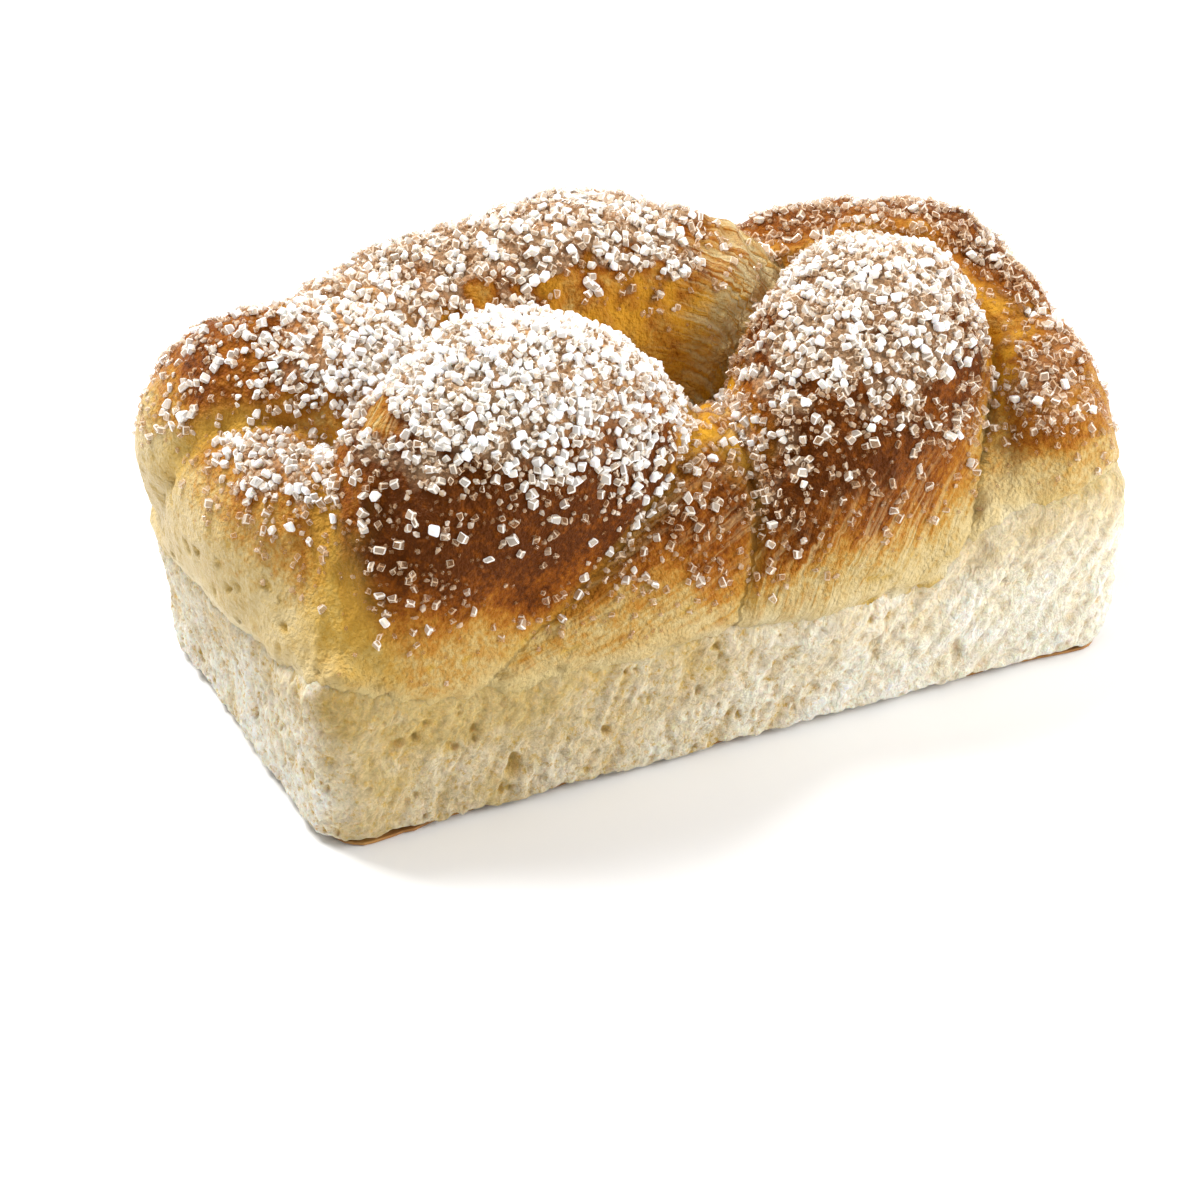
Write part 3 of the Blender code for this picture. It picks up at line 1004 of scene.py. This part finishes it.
sugarFall = {
    "heaps": {
        "lobes": {
            "backLeft": 1.0, "leftEnd": 0.85, "frontLeft": 0.97, "frontTuck": 0.40,
            "frontRight": 0.85, "rightEnd": 0.68, "backMiddle": 0.86, "backRight": 0.62,
        },
        "heapFacing": (0.14, 0.72), "up": (0.004, 0.016),
    },
    "tail": {"lobes": {"frontLeft": 1, "frontTuck": 0.6}, "share": (0.28, 0.62)},
    "tailGain": 0.55,
    "thinnings": (  # the last one is the large front lobe's left flank, which is steep and nearly bare
        {"lobes": {"backLeft": 0.62}, "share": (0.65, 0.25)},
        {"lobes": {"frontLeft": 0.62}, "rise": (0.116, 0.072)},
        {"lobes": {"frontLeft": 0.26}, "share": (0.30, 0.10)},
        {"lobes": {"frontLeft": 0.75}, "leftward": (0.15, 0.55), "rise": (0.108, 0.086)},
    ),
    "strays": {"amount": 0.24, "upward": (-0.35, 0.25), "up": (-0.008, 0.010)},  # crystals that lie alone
    "strayShare": 0.75,
    "strayLobes": {"frontLeft": 0.15, "frontTuck": 0.4},
    "strayHigher": {"amount": 0.8, "rise": (0.068, 0.100)},
    "hiddenStep": {"amount": 0.030, "along": (0.070, 0.090)},
    "losses": (
        {"amount": 0.95, "times": ("inCrease",), "backward": (-0.012, 0.004), "high": (0.104, 0.088)},
        {"amount": 0.95, "times": ("overhung",)},
        {"amount": 0.6, "times": ("sideCrease",)},
        {"amount": 0.85, "stretch": (0.5, 0.9)},
        {"amount": 0.8, "times": ("bareSpot",)},
    ),
    "amber": {  # how amber the sugar of each lobe looks
        "backLeft": 0.0, "leftEnd": 0.20, "frontLeft": 0.18, "frontTuck": 0.40,
        "frontRight": 0.34, "rightEnd": 0.80, "backMiddle": 0.42, "backRight": 0.76,
    },
    "amberAlone": 0.46,  # away from the heaps
    "amberPatches": {"middling": 0.25, "tail": -0.3},
}


def sugarOn(skin):
    skin["tail"] = spread(skin, sugarFall["tail"])
    skin["heapFacing"] += sugarFall["tailGain"] * skin["tail"]
    heaped = lessen(skin, spread(skin, sugarFall["heaps"]), sugarFall["thinnings"])
    strays = spread(skin, sugarFall["strays"]) * (1 + spread(skin, sugarFall["strayHigher"]))
    strays *= sugarFall["strayShare"] + perLobe(sugarFall["strayLobes"], skin["owner"])
    shoulder = fadeOut(*sugarPatch["edge"], reachFrom(skin, sugarPatch))
    shoulder *= smoothStep(*sugarPatch["gaps"], skin["middling"] + skin["fine"])
    strays = np.maximum(strays, sugarPatch["cover"] * shoulder)
    skin["backward"] = skin["across"] + spread(skin, sugarFall["hiddenStep"])
    cover = lessen(skin, np.maximum(heaped, strays), sugarFall["losses"])
    amber = perLobe(sugarFall["amber"], skin["owner"])
    amber += sugarFall["amberAlone"] * (1 - np.clip(heaped, 0, 1))
    amber = uneven(skin, amber, sugarFall["amberPatches"])
    return np.clip(cover, 0, 1), np.clip(amber, 0, 1)


crustValues = (  # what the crust's material and the sugar read, at each of its points
    "browning", "golden", "outer", "yolkAndShade", "torn", "frayed", "stretch", "strandPlace", "sugarCover", "warmth",
)


def describeCrust(mesh):
    skin = surveySkin(mesh)
    skin["pulled"] = findPulled(skin)
    skin["sideCrease"] = findSideCreases(skin)
    skin["seam"] = findSeam(skin)
    skin["bareSpot"] = findBareSpot(skin)
    skin["stretch"] = np.maximum(skin["pulled"], pulled["onBareSpot"] * skin["bareSpot"])
    skin["browning"] = browningOf(skin)
    skin["golden"] = goldenOf(skin)
    skin["outer"] = 1 - skin["interior"]
    skin["yolkAndShade"] = yolkAndShadeAt(skin["points"], skin["normals"])
    skin["torn"] = tornOf(skin)
    skin["frayed"] = frayedOf(skin)
    skin["sugarCover"], skin["warmth"] = sugarOn(skin)
    for name in crustValues:
        store = storeVector if name == "strandPlace" else storeFloat
        store(mesh, name, skin[name])
    return skin


crustRelief = {
    "swells": ((0.009, 2.2, 0.00042),),  # size, seed and height
    "wrinkles": ((0.0032, 4.4, 0.00020),),
    "pale": {"up": (0.004, -0.012)},  # twice as wrinkled, and with pores
    "pores": 0.0014,
    "creases": {"amount": 0.0020, "gap": (0.0032, 0.0)},
    "creaseEven": 0.8,
    "creaseNoise": ((0.006, 9.1, 0.6),),
    "overhang": ((0.0060, 61.0, 0.0009), (0.0024, 62.0, 0.0007)),
    "edge": {"tear": (0.008, -0.003)},
    "edgeRipple": ((0.006, 21.0, 0.0013), (0.002, 22.0, 0.0009)),
    "smoothEdge": {"tear": (-0.003, 0.003)},
    "core": (0.085, 0.03, 0),  # half sizes of the middle that the edge sinks towards
}


def makeCrust():
    item = addObject("crustCage", cutAtTear(roughDough()))
    smooth = item.modifiers.new("smooth", "SUBSURF")
    smooth.levels = smooth.render_levels = 1
    mesh = baked(item)
    closeRims(mesh)
    skin = describeCrust(mesh)
    points = skin["points"]
    pale = spread(skin, crustRelief["pale"])
    relief = layeredNoise(points, crustRelief["swells"])
    relief += layeredNoise(points, crustRelief["wrinkles"]) * (1 + pale)
    unevenness = crustRelief["creaseEven"] + layeredNoise(points, crustRelief["creaseNoise"])
    relief -= spread(skin, crustRelief["creases"]) * unevenness
    relief -= crustRelief["pores"] * skin["pores"] * pale
    relief += skin["overhung"] * layeredNoise(points, crustRelief["overhang"])
    relief *= spread(skin, crustRelief["smoothEdge"])
    # the skin thins out towards the tear and sinks into the crumb
    edge = spread(skin, crustRelief["edge"])
    sink = edge * crust["thinning"] + 4 * edge * (1 - edge) * layeredNoise(points, crustRelief["edgeRipple"])
    core = np.array(crustRelief["core"])
    away = points * (1, 1, 0) - np.clip(points, -core, core)
    away /= np.maximum(np.linalg.norm(away, axis=1, keepdims=True), 1e-6)
    setPoints(mesh, insideCad(points + skin["normals"] * relief[:, None] - away * sink[:, None]))
    item = addObject("brownedCrust", mesh)
    mesh.shade_smooth()
    mesh.materials.clear()
    mesh.materials.append(makeCrustMaterial())
    print("crust done,", len(mesh.polygons), "faces")
    return item


# the torn crumb below it

crumb = {
    "columns": 280,
    "rows": 18,
    "bottom": 0.0010,
    "aboveTear": 0.009,
    "inset": 0.0004,
    "tuck": 0.0042,  # how far its top edge lies under the skin
    "searchFrom": 0.014,  # outside the base's outline
    "searchSteps": 16,
    "stride": (-0.004, 0.02),
    "flap": 0.009,  # at the top and the bottom, turned inwards
    "topFlapLift": 0.001,
}


def towards(angle):
    return Vector((math.cos(angle), math.sin(angle), 0))


def outlinePoint(share):
    hx, hy, corner = dough["baseHalfLength"], dough["baseHalfWidth"], dough["baseCorner"]
    straightX, straightY, arc = 2 * (hx - corner), 2 * (hy - corner), corner * math.pi / 2
    run = share * 2 * (straightX + straightY + 2 * arc)
    heading = 0.0
    at = Vector((-hx + corner, -hy, 0))
    for straight in (straightX, straightY, straightX, straightY):
        if run <= straight:
            at += towards(heading) * run
            break
        at += towards(heading) * straight
        run -= straight
        centre = at + Vector((-math.sin(heading), math.cos(heading), 0)) * corner
        if run <= arc:
            at = centre + towards(heading - math.pi / 2 + run / corner) * corner
            heading += run / corner
            break
        heading += math.pi / 2
        at = centre + towards(heading - math.pi / 2) * corner
        run -= arc
    outward = Vector((math.sin(heading), -math.cos(heading), 0))
    return (at.x + dough["baseOffset"], at.y), (outward.x, outward.y)


def bridge(built, lower, upper):
    count = len(lower)
    for k in range(count):
        after = (k + 1) % count
        built.faces.new((lower[k], lower[after], upper[after], upper[k]))


def traceWall(starts, inward, inset):
    points = starts.copy()
    for _ in range(crumb["searchSteps"]):
        points += inward * np.clip(distanceToDough(points) + inset, *crumb["stride"])[:, None]
    return points


def crumbCage():
    columns, rows = crumb["columns"], crumb["rows"]
    outline = [outlinePoint(k / columns) for k in range(columns)]
    at = np.array([place for place, _ in outline])
    out = np.array([direction for _, direction in outline])
    top = heightOf(tearLine, np.column_stack([at, np.zeros(columns)])) + crumb["aboveTear"]
    levels = np.linspace(0, 1, rows + 1)
    z = crumb["bottom"] + levels[:, None] * (top - crumb["bottom"])[None, :]
    starts = np.dstack([
        np.broadcast_to(at[:, 0] + out[:, 0] * crumb["searchFrom"], z.shape),
        np.broadcast_to(at[:, 1] + out[:, 1] * crumb["searchFrom"], z.shape),
        z,
    ]).reshape(-1, 3)
    inward = np.tile(np.column_stack([-out, np.zeros(columns)]), (rows + 1, 1))
    tear = np.tile(top - crumb["aboveTear"], rows + 1)
    tucked = smoothStep(0.0, crumb["aboveTear"], starts[:, 2] - tear)
    wall = traceWall(starts, inward, crumb["inset"] + (crumb["tuck"] - crumb["inset"]) * tucked)
    built = bmesh.new()
    grid = [[built.verts.new(p) for p in row] for row in wall.reshape(rows + 1, columns, 3)]
    for lower, upper in zip(grid, grid[1:]):
        bridge(built, lower, upper)
    for ring, lift in ((grid[0], 0.0), (grid[-1], crumb["topFlapLift"])):
        inner = []
        for v, direction in zip(ring, inward):
            spot = v.co + Vector(direction) * crumb["flap"]
            spot.z += lift
            inner.append(built.verts.new(spot))
        bridge(built, ring, inner)
    bmesh.ops.recalc_face_normals(built, faces=built.faces[:])
    mesh = bpy.data.meshes.new("crumbCage")
    built.to_mesh(mesh)
    built.free()
    return mesh


crumbRelief = {
    "levelling": 1.3,  # how soon the relief ends where the wall turns level
    "bottomRange": (0.0, 0.002),
    "facing": (0.3, 0.8),
    "rightRange": (-0.02, 0.075),  # along the loaf
    "warp": (0.004, (5.0, 10.0, 15.0)),  # size, and one seed for each direction
    "warpCells": 0.0016,
    "warpFibres": 0.0012,
    "warpSurface": 0.0004,
    "lean": 0.25,  # of the torn fibres, more towards the right end
    "leanRight": 0.45,
    "fibreFlatness": (1, 0.6, 0.24),
    "cellFlatness": (1, 1, 0.62),
    "holeSize": (0.14, 0.42),
    "holePatches": (0.010, 11.0),
    "holePatchRange": (-0.05, 0.45),
    "granuleMiddle": 0.45,
    "noises": {  # size and seed
        "lumps": (0.016, 6.1), "drapes": (0.0065, 14.0), "folds": (0.0028, 8.3), "granules": (0.0017, 4.0),
        "grain": (0.0012, 12.0), "dust": (0.0007, 15.0), "holes": (0.0034, 2.0),
    },
    "heights": {
        "lumps": 0.0010, "drapes": 0.0009, "folds": 0.0009, "granules": 0.0008,
        "grain": 0.00035, "dust": 0.00025, "holes": -0.0016,
    },
    "heightsRight": {"drapes": 0.0010, "holes": 0.0006},
    "pitShadeParts": {"holes": 1.1, "granules": -0.4, "grain": -0.3, "drapes": -0.5, "folds": -0.5},
    "pitShadeEverywhere": 0.08,
    "pitShadeDepth": 0.002,
    "pitShadeStrength": 0.80,
    "pitShadeStrengthRight": -0.40,
    "airy": 0.85,
    "airyRight": -0.50,
    "poreEdge": (0.45, 1.15),
    "fray": ((0.0030, 41.0, 0.7), (0.011, 42.0, 0.6), (0.0014, 43.0, 0.4)),
    "frayFlatness": (1, 1, 0.2),
    "frayMiddle": 0.5,
    "frayMost": 1.5,
    "frayDepth": 0.0022,  # how far its bottom edge is nibbled away
    "frayRange": (0.0, 0.005),
    "lowest": 0.0004,
}

bigPores = (  # along, up, half width, half height and depth on the long front, in mm
    (-64, 14, 2.6, 4.2, 3.0), (-96, 30, 3.0, 2.6, 2.2), (-38, 17, 1.6, 2.6, 1.8), (-12, 22, 1.5, 2.2, 1.6),
    (40, 20, 1.6, 5.0, 1.5), (66, 12, 1.4, 4.0, 1.1), (98, 34, 1.3, 3.6, 1.2),
)


def tearTextures(points, warp, rightness):
    sizes = crumbRelief["noises"]
    lean = crumbRelief["lean"] + crumbRelief["leanRight"] * rightness
    along = points[:, 0] + points[:, 1] - points[:, 2] * lean
    fibres = np.column_stack([along, points[:, 1], points[:, 2]]) * crumbRelief["fibreFlatness"]
    fibres += warp * crumbRelief["warpFibres"]
    cells = points + warp * crumbRelief["warpCells"]
    where = {"drapes": fibres, "folds": fibres}
    smooth = ("lumps", "drapes", "folds", "grain", "dust")
    textures = {name: noiseAt(where.get(name, points), *sizes[name]) for name in smooth}
    sparse = smoothStep(*crumbRelief["holePatchRange"], noiseAt(points, *crumbRelief["holePatches"]))
    holes = nearestCell(cells * crumbRelief["cellFlatness"], *sizes["holes"])
    textures["holes"] = fadeOut(*crumbRelief["holeSize"], holes) * sparse
    textures["granules"] = crumbRelief["granuleMiddle"] - nearestCell(cells, *sizes["granules"])
    return textures


def sinkBigPores(points, warp):
    place = (points + warp * crumbRelief["warpCells"]) / mm
    hollow = np.zeros(len(points))
    for along, up, halfWidth, halfHeight, depth in bigPores:
        reach = np.hypot((place[:, 0] - along) / halfWidth, (place[:, 2] - up) / halfHeight)
        hollow = np.maximum(hollow, fadeOut(*crumbRelief["poreEdge"], reach) * depth * mm)
    return hollow


def frayBottom(points):
    frayed = layeredNoise(points * crumbRelief["frayFlatness"], crumbRelief["fray"])
    frayed = np.clip(crumbRelief["frayMiddle"] + frayed, 0, crumbRelief["frayMost"])
    points[:, 2] += crumbRelief["frayDepth"] * frayed * fadeOut(*crumbRelief["frayRange"], points[:, 2])
    points[:, 2] = np.maximum(points[:, 2], crumbRelief["lowest"])


def makeCrumb():
    item = addObject("crumbCage", crumbCage())
    smooth = item.modifiers.new("smooth", "SUBSURF")
    smooth.levels = smooth.render_levels = 2
    mesh = baked(item)
    closeRims(mesh)
    points, normals = getPoints(mesh), getNormals(mesh)
    wall = np.clip(1 - np.abs(normals[:, 2]) * crumbRelief["levelling"], 0, 1)
    wall *= smoothStep(*crumbRelief["bottomRange"], points[:, 2])
    front = smoothStep(*crumbRelief["facing"], -normals[:, 1])
    rightness = smoothStep(*crumbRelief["rightRange"], points[:, 0])
    warpSize, warpSeeds = crumbRelief["warp"]
    warp = np.column_stack([noiseAt(points, warpSize, seed) for seed in warpSeeds])
    textures = tearTextures(points, warp, rightness)
    hollow = sinkBigPores(points, warp) * front
    relief = -hollow
    for name, values in textures.items():
        height = crumbRelief["heights"][name] + crumbRelief["heightsRight"].get(name, 0) * rightness
        relief += height * values
    points = points + normals * (relief * wall)[:, None] + warp * (crumbRelief["warpSurface"] * wall)[:, None]
    frayBottom(points)
    setPoints(mesh, insideCad(points))
    # painted shade: pits and hollows are coloured darker and warmer, less so towards the right end, where the
    # light falls
    pitShade = crumbRelief["pitShadeEverywhere"] + hollow / crumbRelief["pitShadeDepth"]
    for name, strength in crumbRelief["pitShadeParts"].items():
        pitShade += strength * textures[name]
    pitShadeStrength = crumbRelief["pitShadeStrength"] + crumbRelief["pitShadeStrengthRight"] * rightness
    storeFloat(mesh, "pitShade", np.clip(pitShade, 0, 1) * pitShadeStrength)
    storeFloat(mesh, "airy", crumbRelief["airy"] + crumbRelief["airyRight"] * rightness)
    storeFloat(mesh, "yolkAndShade", yolkAndShadeAt(points, normals))
    item = addObject("tornCrumb", mesh)
    mesh.shade_smooth()
    mesh.materials.clear()
    mesh.materials.append(makeCrumbMaterial())
    print("crumb done,", len(mesh.polygons), "faces")
    return item


# the flat baked underside

underside = {
    "sides": 240,
    "thickness": 0.0012,
    "inset": 0.0044,
    "rows": ((0.0012, 0.0), (0.0, 0.3), (0.0002, 0.8), (0.008, 1.0)),  # further inset, share of the thickness
    "showing": ((-0.100, -0.058), (0.108, -0.055), (0.02, 0.06)),  # where its rim peeps out
    "patch": 0.016,
    "peep": 0.72,
    "wobble": ((0.007, 0, 0.0009), (0.002, 5, 0.0005)),  # size, level and depth
}


def undersideInset(x, y):
    nearest = min(math.dist((x, y), spot) for spot in underside["showing"])
    peep = math.exp(-((nearest / underside["patch"]) ** 2))
    wobble = sum(
        depth * noise.noise(Vector((x, y, level)) / size) for size, level, depth in underside["wobble"]
    )
    return underside["inset"] * (1 - underside["peep"] * peep) + wobble


def makeUnderside():
    outline = [outlinePoint(k / underside["sides"]) for k in range(underside["sides"])]
    built = bmesh.new()
    loops = []
    for further, share in underside["rows"]:
        loop = []
        for (x, y), (outX, outY) in outline:
            inset = undersideInset(x, y) + further
            spot = (x - outX * inset, y - outY * inset, share * underside["thickness"])
            loop.append(built.verts.new(spot))
        loops.append(loop)
    for lower, upper in zip(loops, loops[1:]):
        bridge(built, lower, upper)
    built.faces.new(loops[0])
    built.faces.new(loops[-1])
    bmesh.ops.recalc_face_normals(built, faces=built.faces[:])
    mesh = bpy.data.meshes.new("underside")
    built.to_mesh(mesh)
    built.free()
    item = addObject("bakedUnderside", mesh)
    mesh.materials.append(makeBottomMaterial())
    print("underside done")
    return item


# coarse sugar, scattered on the crust

sugar = {
    "kinds": 12,
    "halfSizes": ((0.42, 0.60), (0.34, 0.48), (0.26, 0.42)),
    "fineRadius": 1.25,
    "boxJitter": 0.40,
    "rimWidth": 0.12,  # of its bevelled edges, whose paler colour is a painted highlight
    "rimSpread": (0.8, 1.3),
    "tilt": 0.9,
    "seed": 7,
}


def makeCrystalKinds(name, rimmed):
    home = bpy.data.collections.new(name)
    scene.collection.children.link(home)
    draw = random.Random(sugar["seed"])
    jitter = sugar["boxJitter"]
    for number in range(sugar["kinds"]):
        built = bmesh.new()
        if rimmed:
            bmesh.ops.create_cube(built, size=2)
        else:
            bmesh.ops.create_icosphere(built, subdivisions=1, radius=sugar["fineRadius"])
        size = [draw.uniform(*ends) for ends in sugar["halfSizes"]]
        for v in built.verts:
            v.co = [(c + draw.uniform(-jitter, jitter)) * s for c, s in zip(v.co, size)]
        rim = built.faces.layers.float.new("rim")
        if rimmed:
            width = sugar["rimWidth"] * draw.uniform(*sugar["rimSpread"])
            cut = bmesh.ops.bevel(
                built, geom=built.edges[:], offset=width, offset_type="OFFSET", segments=1, profile=0.5,
                affect="EDGES",
            )
            for f in cut["faces"]:
                f[rim] = 1.0
        bmesh.ops.recalc_face_normals(built, faces=built.faces[:])
        mesh = bpy.data.meshes.new(f"{name}{number}")
        built.to_mesh(mesh)
        built.free()
        home.objects.link(bpy.data.objects.new(f"{name}{number}", mesh))
    return home


sugarLayers = {
    "clearSugar": {
        "spacing": 0.00181, "most": 1000000, "gather": 1.0, "smallest": 0.0015, "largest": 0.0026,
        "lift": 0.14, "amber": 0.75, "seed": 3, "body": 0.50, "glow": 0.0, "rimPaintedHighlight": 0.24,
        "tone": (
            (0.0, (0.58, 0.33, 0.16)), (0.25, (0.76, 0.56, 0.37)), (0.55, (0.92, 0.83, 0.71)),
            (0.9, (1.0, 0.98, 0.95)),
        ),
    },
    "whiteSugar": {
        "spacing": 0.0020, "most": 640000, "gather": 2.8, "smallest": 0.0014, "largest": 0.0026,
        "lift": 0.40, "amber": 0.45, "seed": 11, "body": 0.80, "glow": 0.5, "rimPaintedHighlight": 0.18,
        "tone": ((0.0, (0.72, 0.55, 0.39)), (0.35, (0.90, 0.82, 0.72)), (0.8, (1.0, 0.99, 0.98))),
    },
    "fineSugar": {
        "spacing": 0.0013, "most": 1200000, "gather": 0.9, "smallest": 0.0008, "largest": 0.0015,
        "lift": 0.22, "amber": 0.75, "seed": 23, "body": 0.60, "glow": 0.0, "rimPaintedHighlight": 0.30,
        "tone": ((0.0, (0.48, 0.25, 0.10)), (0.4, (0.78, 0.58, 0.38)), (1.0, (1.0, 0.97, 0.92))),
    },
}

scatterInputs = {
    "crystals": "Collection", "spacing": "Float", "most": "Float", "gather": "Float", "smallest": "Float",
    "largest": "Float", "lift": "Float", "amber": "Float", "seed": "Int", "finish": "Material",
}
randomSockets = {"FLOAT_VECTOR": (0, 1, 0), "FLOAT": (2, 3, 1), "INT": (4, 5, 2)}  # least, most, result


def randomValue(tree, seed, kind="FLOAT", least=0.0, most=1.0):
    low, high, result = randomSockets[kind]
    made = addNode(tree, "FunctionNodeRandomValue", {low: least, high: most, 8: seed}, data_type=kind)
    return made.outputs[result]


def crustValue(tree, name):
    made = addNode(tree, "GeometryNodeInputNamedAttribute", {"Name": name}, data_type="FLOAT")
    return made.outputs["Attribute"]


def storeValue(tree, geometry, name, value, domain):
    return addNode(tree, "GeometryNodeStoreNamedAttribute", {
        "Geometry": geometry, "Name": name, "Value": value,
    }, data_type="FLOAT", domain=domain).outputs[0]


def placeCrystals(tree, inputs, spots):
    seed = inputs["seed"]
    size = randomValue(tree, seed, "FLOAT", inputs["smallest"], inputs["largest"])
    lift = calculate(tree, "MULTIPLY", size, inputs["lift"])
    raised = addNode(tree, "ShaderNodeVectorMath", {0: spots["Normal"], "Scale": lift}, operation="SCALE")
    moved = addNode(tree, "GeometryNodeSetPosition", {
        "Geometry": spots["Points"], "Offset": raised.outputs[0],
    })
    tilt = sugar["tilt"]
    turn = randomValue(tree, seed, "FLOAT_VECTOR", (-tilt, -tilt, 0), (tilt, tilt, math.tau))
    turned = addNode(tree, "FunctionNodeEulerToRotation", {0: turn})
    rotation = addNode(tree, "FunctionNodeRotateRotation", {
        0: spots["Rotation"], 1: turned.outputs[0],
    }, rotation_space="LOCAL")
    kinds = addNode(tree, "GeometryNodeCollectionInfo", {
        "Collection": inputs["crystals"], "Separate Children": True, "Reset Children": True,
    })
    return addNode(tree, "GeometryNodeInstanceOnPoints", {
        "Points": moved.outputs[0], "Instance": kinds.outputs[0], "Pick Instance": True,
        "Instance Index": randomValue(tree, seed, "INT", 0, sugar["kinds"] - 1),
        "Rotation": rotation.outputs[0], "Scale": size,
    }).outputs[0]


def makeScatterTree():
    tree = bpy.data.node_groups.new("sugarScatter", "GeometryNodeTree")
    face = tree.interface
    face.new_socket("Geometry", in_out="OUTPUT", socket_type="NodeSocketGeometry")
    face.new_socket("Geometry", in_out="INPUT", socket_type="NodeSocketGeometry")
    for name, kind in scatterInputs.items():
        face.new_socket(name, in_out="INPUT", socket_type="NodeSocket" + kind)
    inputs = addNode(tree, "NodeGroupInput").outputs
    spots = addNode(tree, "GeometryNodeDistributePointsOnFaces", {
        "Mesh": inputs["Geometry"], "Distance Min": inputs["spacing"], "Density Max": inputs["most"],
        "Density Factor": calculate(tree, "POWER", crustValue(tree, "sugarCover"), inputs["gather"]),
        "Seed": inputs["seed"],
    }, distribute_method="POISSON").outputs
    placed = placeCrystals(tree, inputs, spots)
    # some crystals are clear and show the crust through them
    luck = randomValue(tree, inputs["seed"])
    amber = calculate(tree, "MULTIPLY", crustValue(tree, "warmth"), inputs["amber"])
    tone = calculate(tree, "SUBTRACT", luck, amber, clamp=True)
    toned = storeValue(tree, placed, "grainTone", tone, "INSTANCE")
    real = addNode(tree, "GeometryNodeRealizeInstances", {"Geometry": toned})
    # painted glints: each facet gets its own random lightness
    glint = randomValue(tree, inputs["seed"])
    faceted = storeValue(tree, real.outputs[0], "facetTone", glint, "FACE")
    finish = addNode(tree, "GeometryNodeSetMaterial", {"Geometry": faceted, "Material": inputs["finish"]})
    addNode(tree, "NodeGroupOutput", {"Geometry": finish.outputs[0]})
    return tree


def scatterSugar(name, crustItem, tree, kinds):
    layer = sugarLayers[name]
    finish = makeSugarMaterial(name, layer)
    values = {**layer, "crystals": kinds, "finish": finish}
    carrier = addObject("sugarCarrier", crustItem.data.copy())
    scatter = carrier.modifiers.new("scatter", "NODES")
    scatter.node_group = tree
    for socket in tree.interface.items_tree:
        if socket.in_out == "INPUT" and socket.name in scatterInputs:
            scatter[socket.identifier] = values[socket.name]
    mesh = baked(carrier)
    setPoints(mesh, insideCad(getPoints(mesh)))
    for spare in crustValues:
        if spare in mesh.attributes:
            mesh.attributes.remove(mesh.attributes[spare])
    item = addObject(name, mesh)
    mesh.materials.clear()
    mesh.materials.append(finish)
    print(name, "done,", len(mesh.polygons), "faces")
    return item


crustItem = makeCrust()
crumbItem = makeCrumb()
undersideItem = makeUnderside()

coarseKinds = makeCrystalKinds("coarseCrystal", True)
fineKinds = makeCrystalKinds("fineCrystal", False)
scatterTree = makeScatterTree()
sugarItems = [
    scatterSugar(name, crustItem, scatterTree, kinds)
    for name, kinds in (("clearSugar", coarseKinds), ("whiteSugar", coarseKinds), ("fineSugar", fineKinds))
]
for home in (coarseKinds, fineKinds):
    for kind in list(home.objects):
        bpy.data.objects.remove(kind)
    bpy.data.collections.remove(home)


# floor, light and camera

stage = {
    "floorSize": 4,
    "floorColour": (0.92, 0.92, 0.92),
    "floorRoughness": 0.8,
    "roomColour": (1.0, 1.0, 1.0),
    "roomLight": 0.52,
    "topLeftLight": {"place": (-0.30, 0.42, 0.85), "aim": (-0.03, 0, 0.05), "size": 0.40, "power": 13.5},
    "rightLight": {"place": (0.66, -0.50, 0.46), "aim": (0.05, 0, 0.04), "size": 0.45, "power": 7.5},
    "lens": 105,
    "sensor": 36,
    "cameraPlace": (-0.363692, -0.732457, 0.510404),  # fitted to the photo
    "cameraAim": (-0.031497, -0.042867, 0.045),
}


def makeFloor():
    built = bmesh.new()
    bmesh.ops.create_grid(built, x_segments=1, y_segments=1, size=stage["floorSize"])
    mesh = bpy.data.meshes.new("paleFloor")
    built.to_mesh(mesh)
    built.free()
    floor = addObject("paleFloor", mesh)
    finish = startMaterial("paleFloor", {
        "Base Color": (*stage["floorColour"], 1), "Roughness": stage["floorRoughness"],
    })[0]
    mesh.materials.append(finish)


def makeRoom():
    world = bpy.data.worlds.new("softRoom")
    scene.world = world
    world.use_nodes = True
    background = world.node_tree.nodes["Background"].inputs
    background["Color"].default_value = (*stage["roomColour"], 1)
    background["Strength"].default_value = stage["roomLight"]


def aimAt(item, place, aim):
    item.location = place
    item.rotation_euler = (Vector(aim) - item.location).to_track_quat("-Z", "Y").to_euler()
    scene.collection.objects.link(item)


def addSoftbox(name):
    lamp = stage[name]
    light = bpy.data.lights.new(name, "AREA")
    light.shape = "SQUARE"
    light.size = lamp["size"]
    light.energy = lamp["power"]
    aimAt(bpy.data.objects.new(name, light), lamp["place"], lamp["aim"])


def makeCamera():
    data = bpy.data.cameras.new("photoCamera")
    data.lens = stage["lens"]
    data.sensor_width = stage["sensor"]
    item = bpy.data.objects.new("photoCamera", data)
    aimAt(item, stage["cameraPlace"], stage["cameraAim"])
    scene.camera = item


makeFloor()
makeRoom()
addSoftbox("topLeftLight")
addSoftbox("rightLight")
makeCamera()
scene.view_settings.view_transform = "Standard"
print("floor, light and camera done")

dressed = [(crustItem, "crust"), (crumbItem, "crumb"), (undersideItem, "crust")]
dressed += [(item, "sugar") for item in sugarItems]
for piece, slotName in dressed:
    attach(piece, "root")
    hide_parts("brioche_loaf")
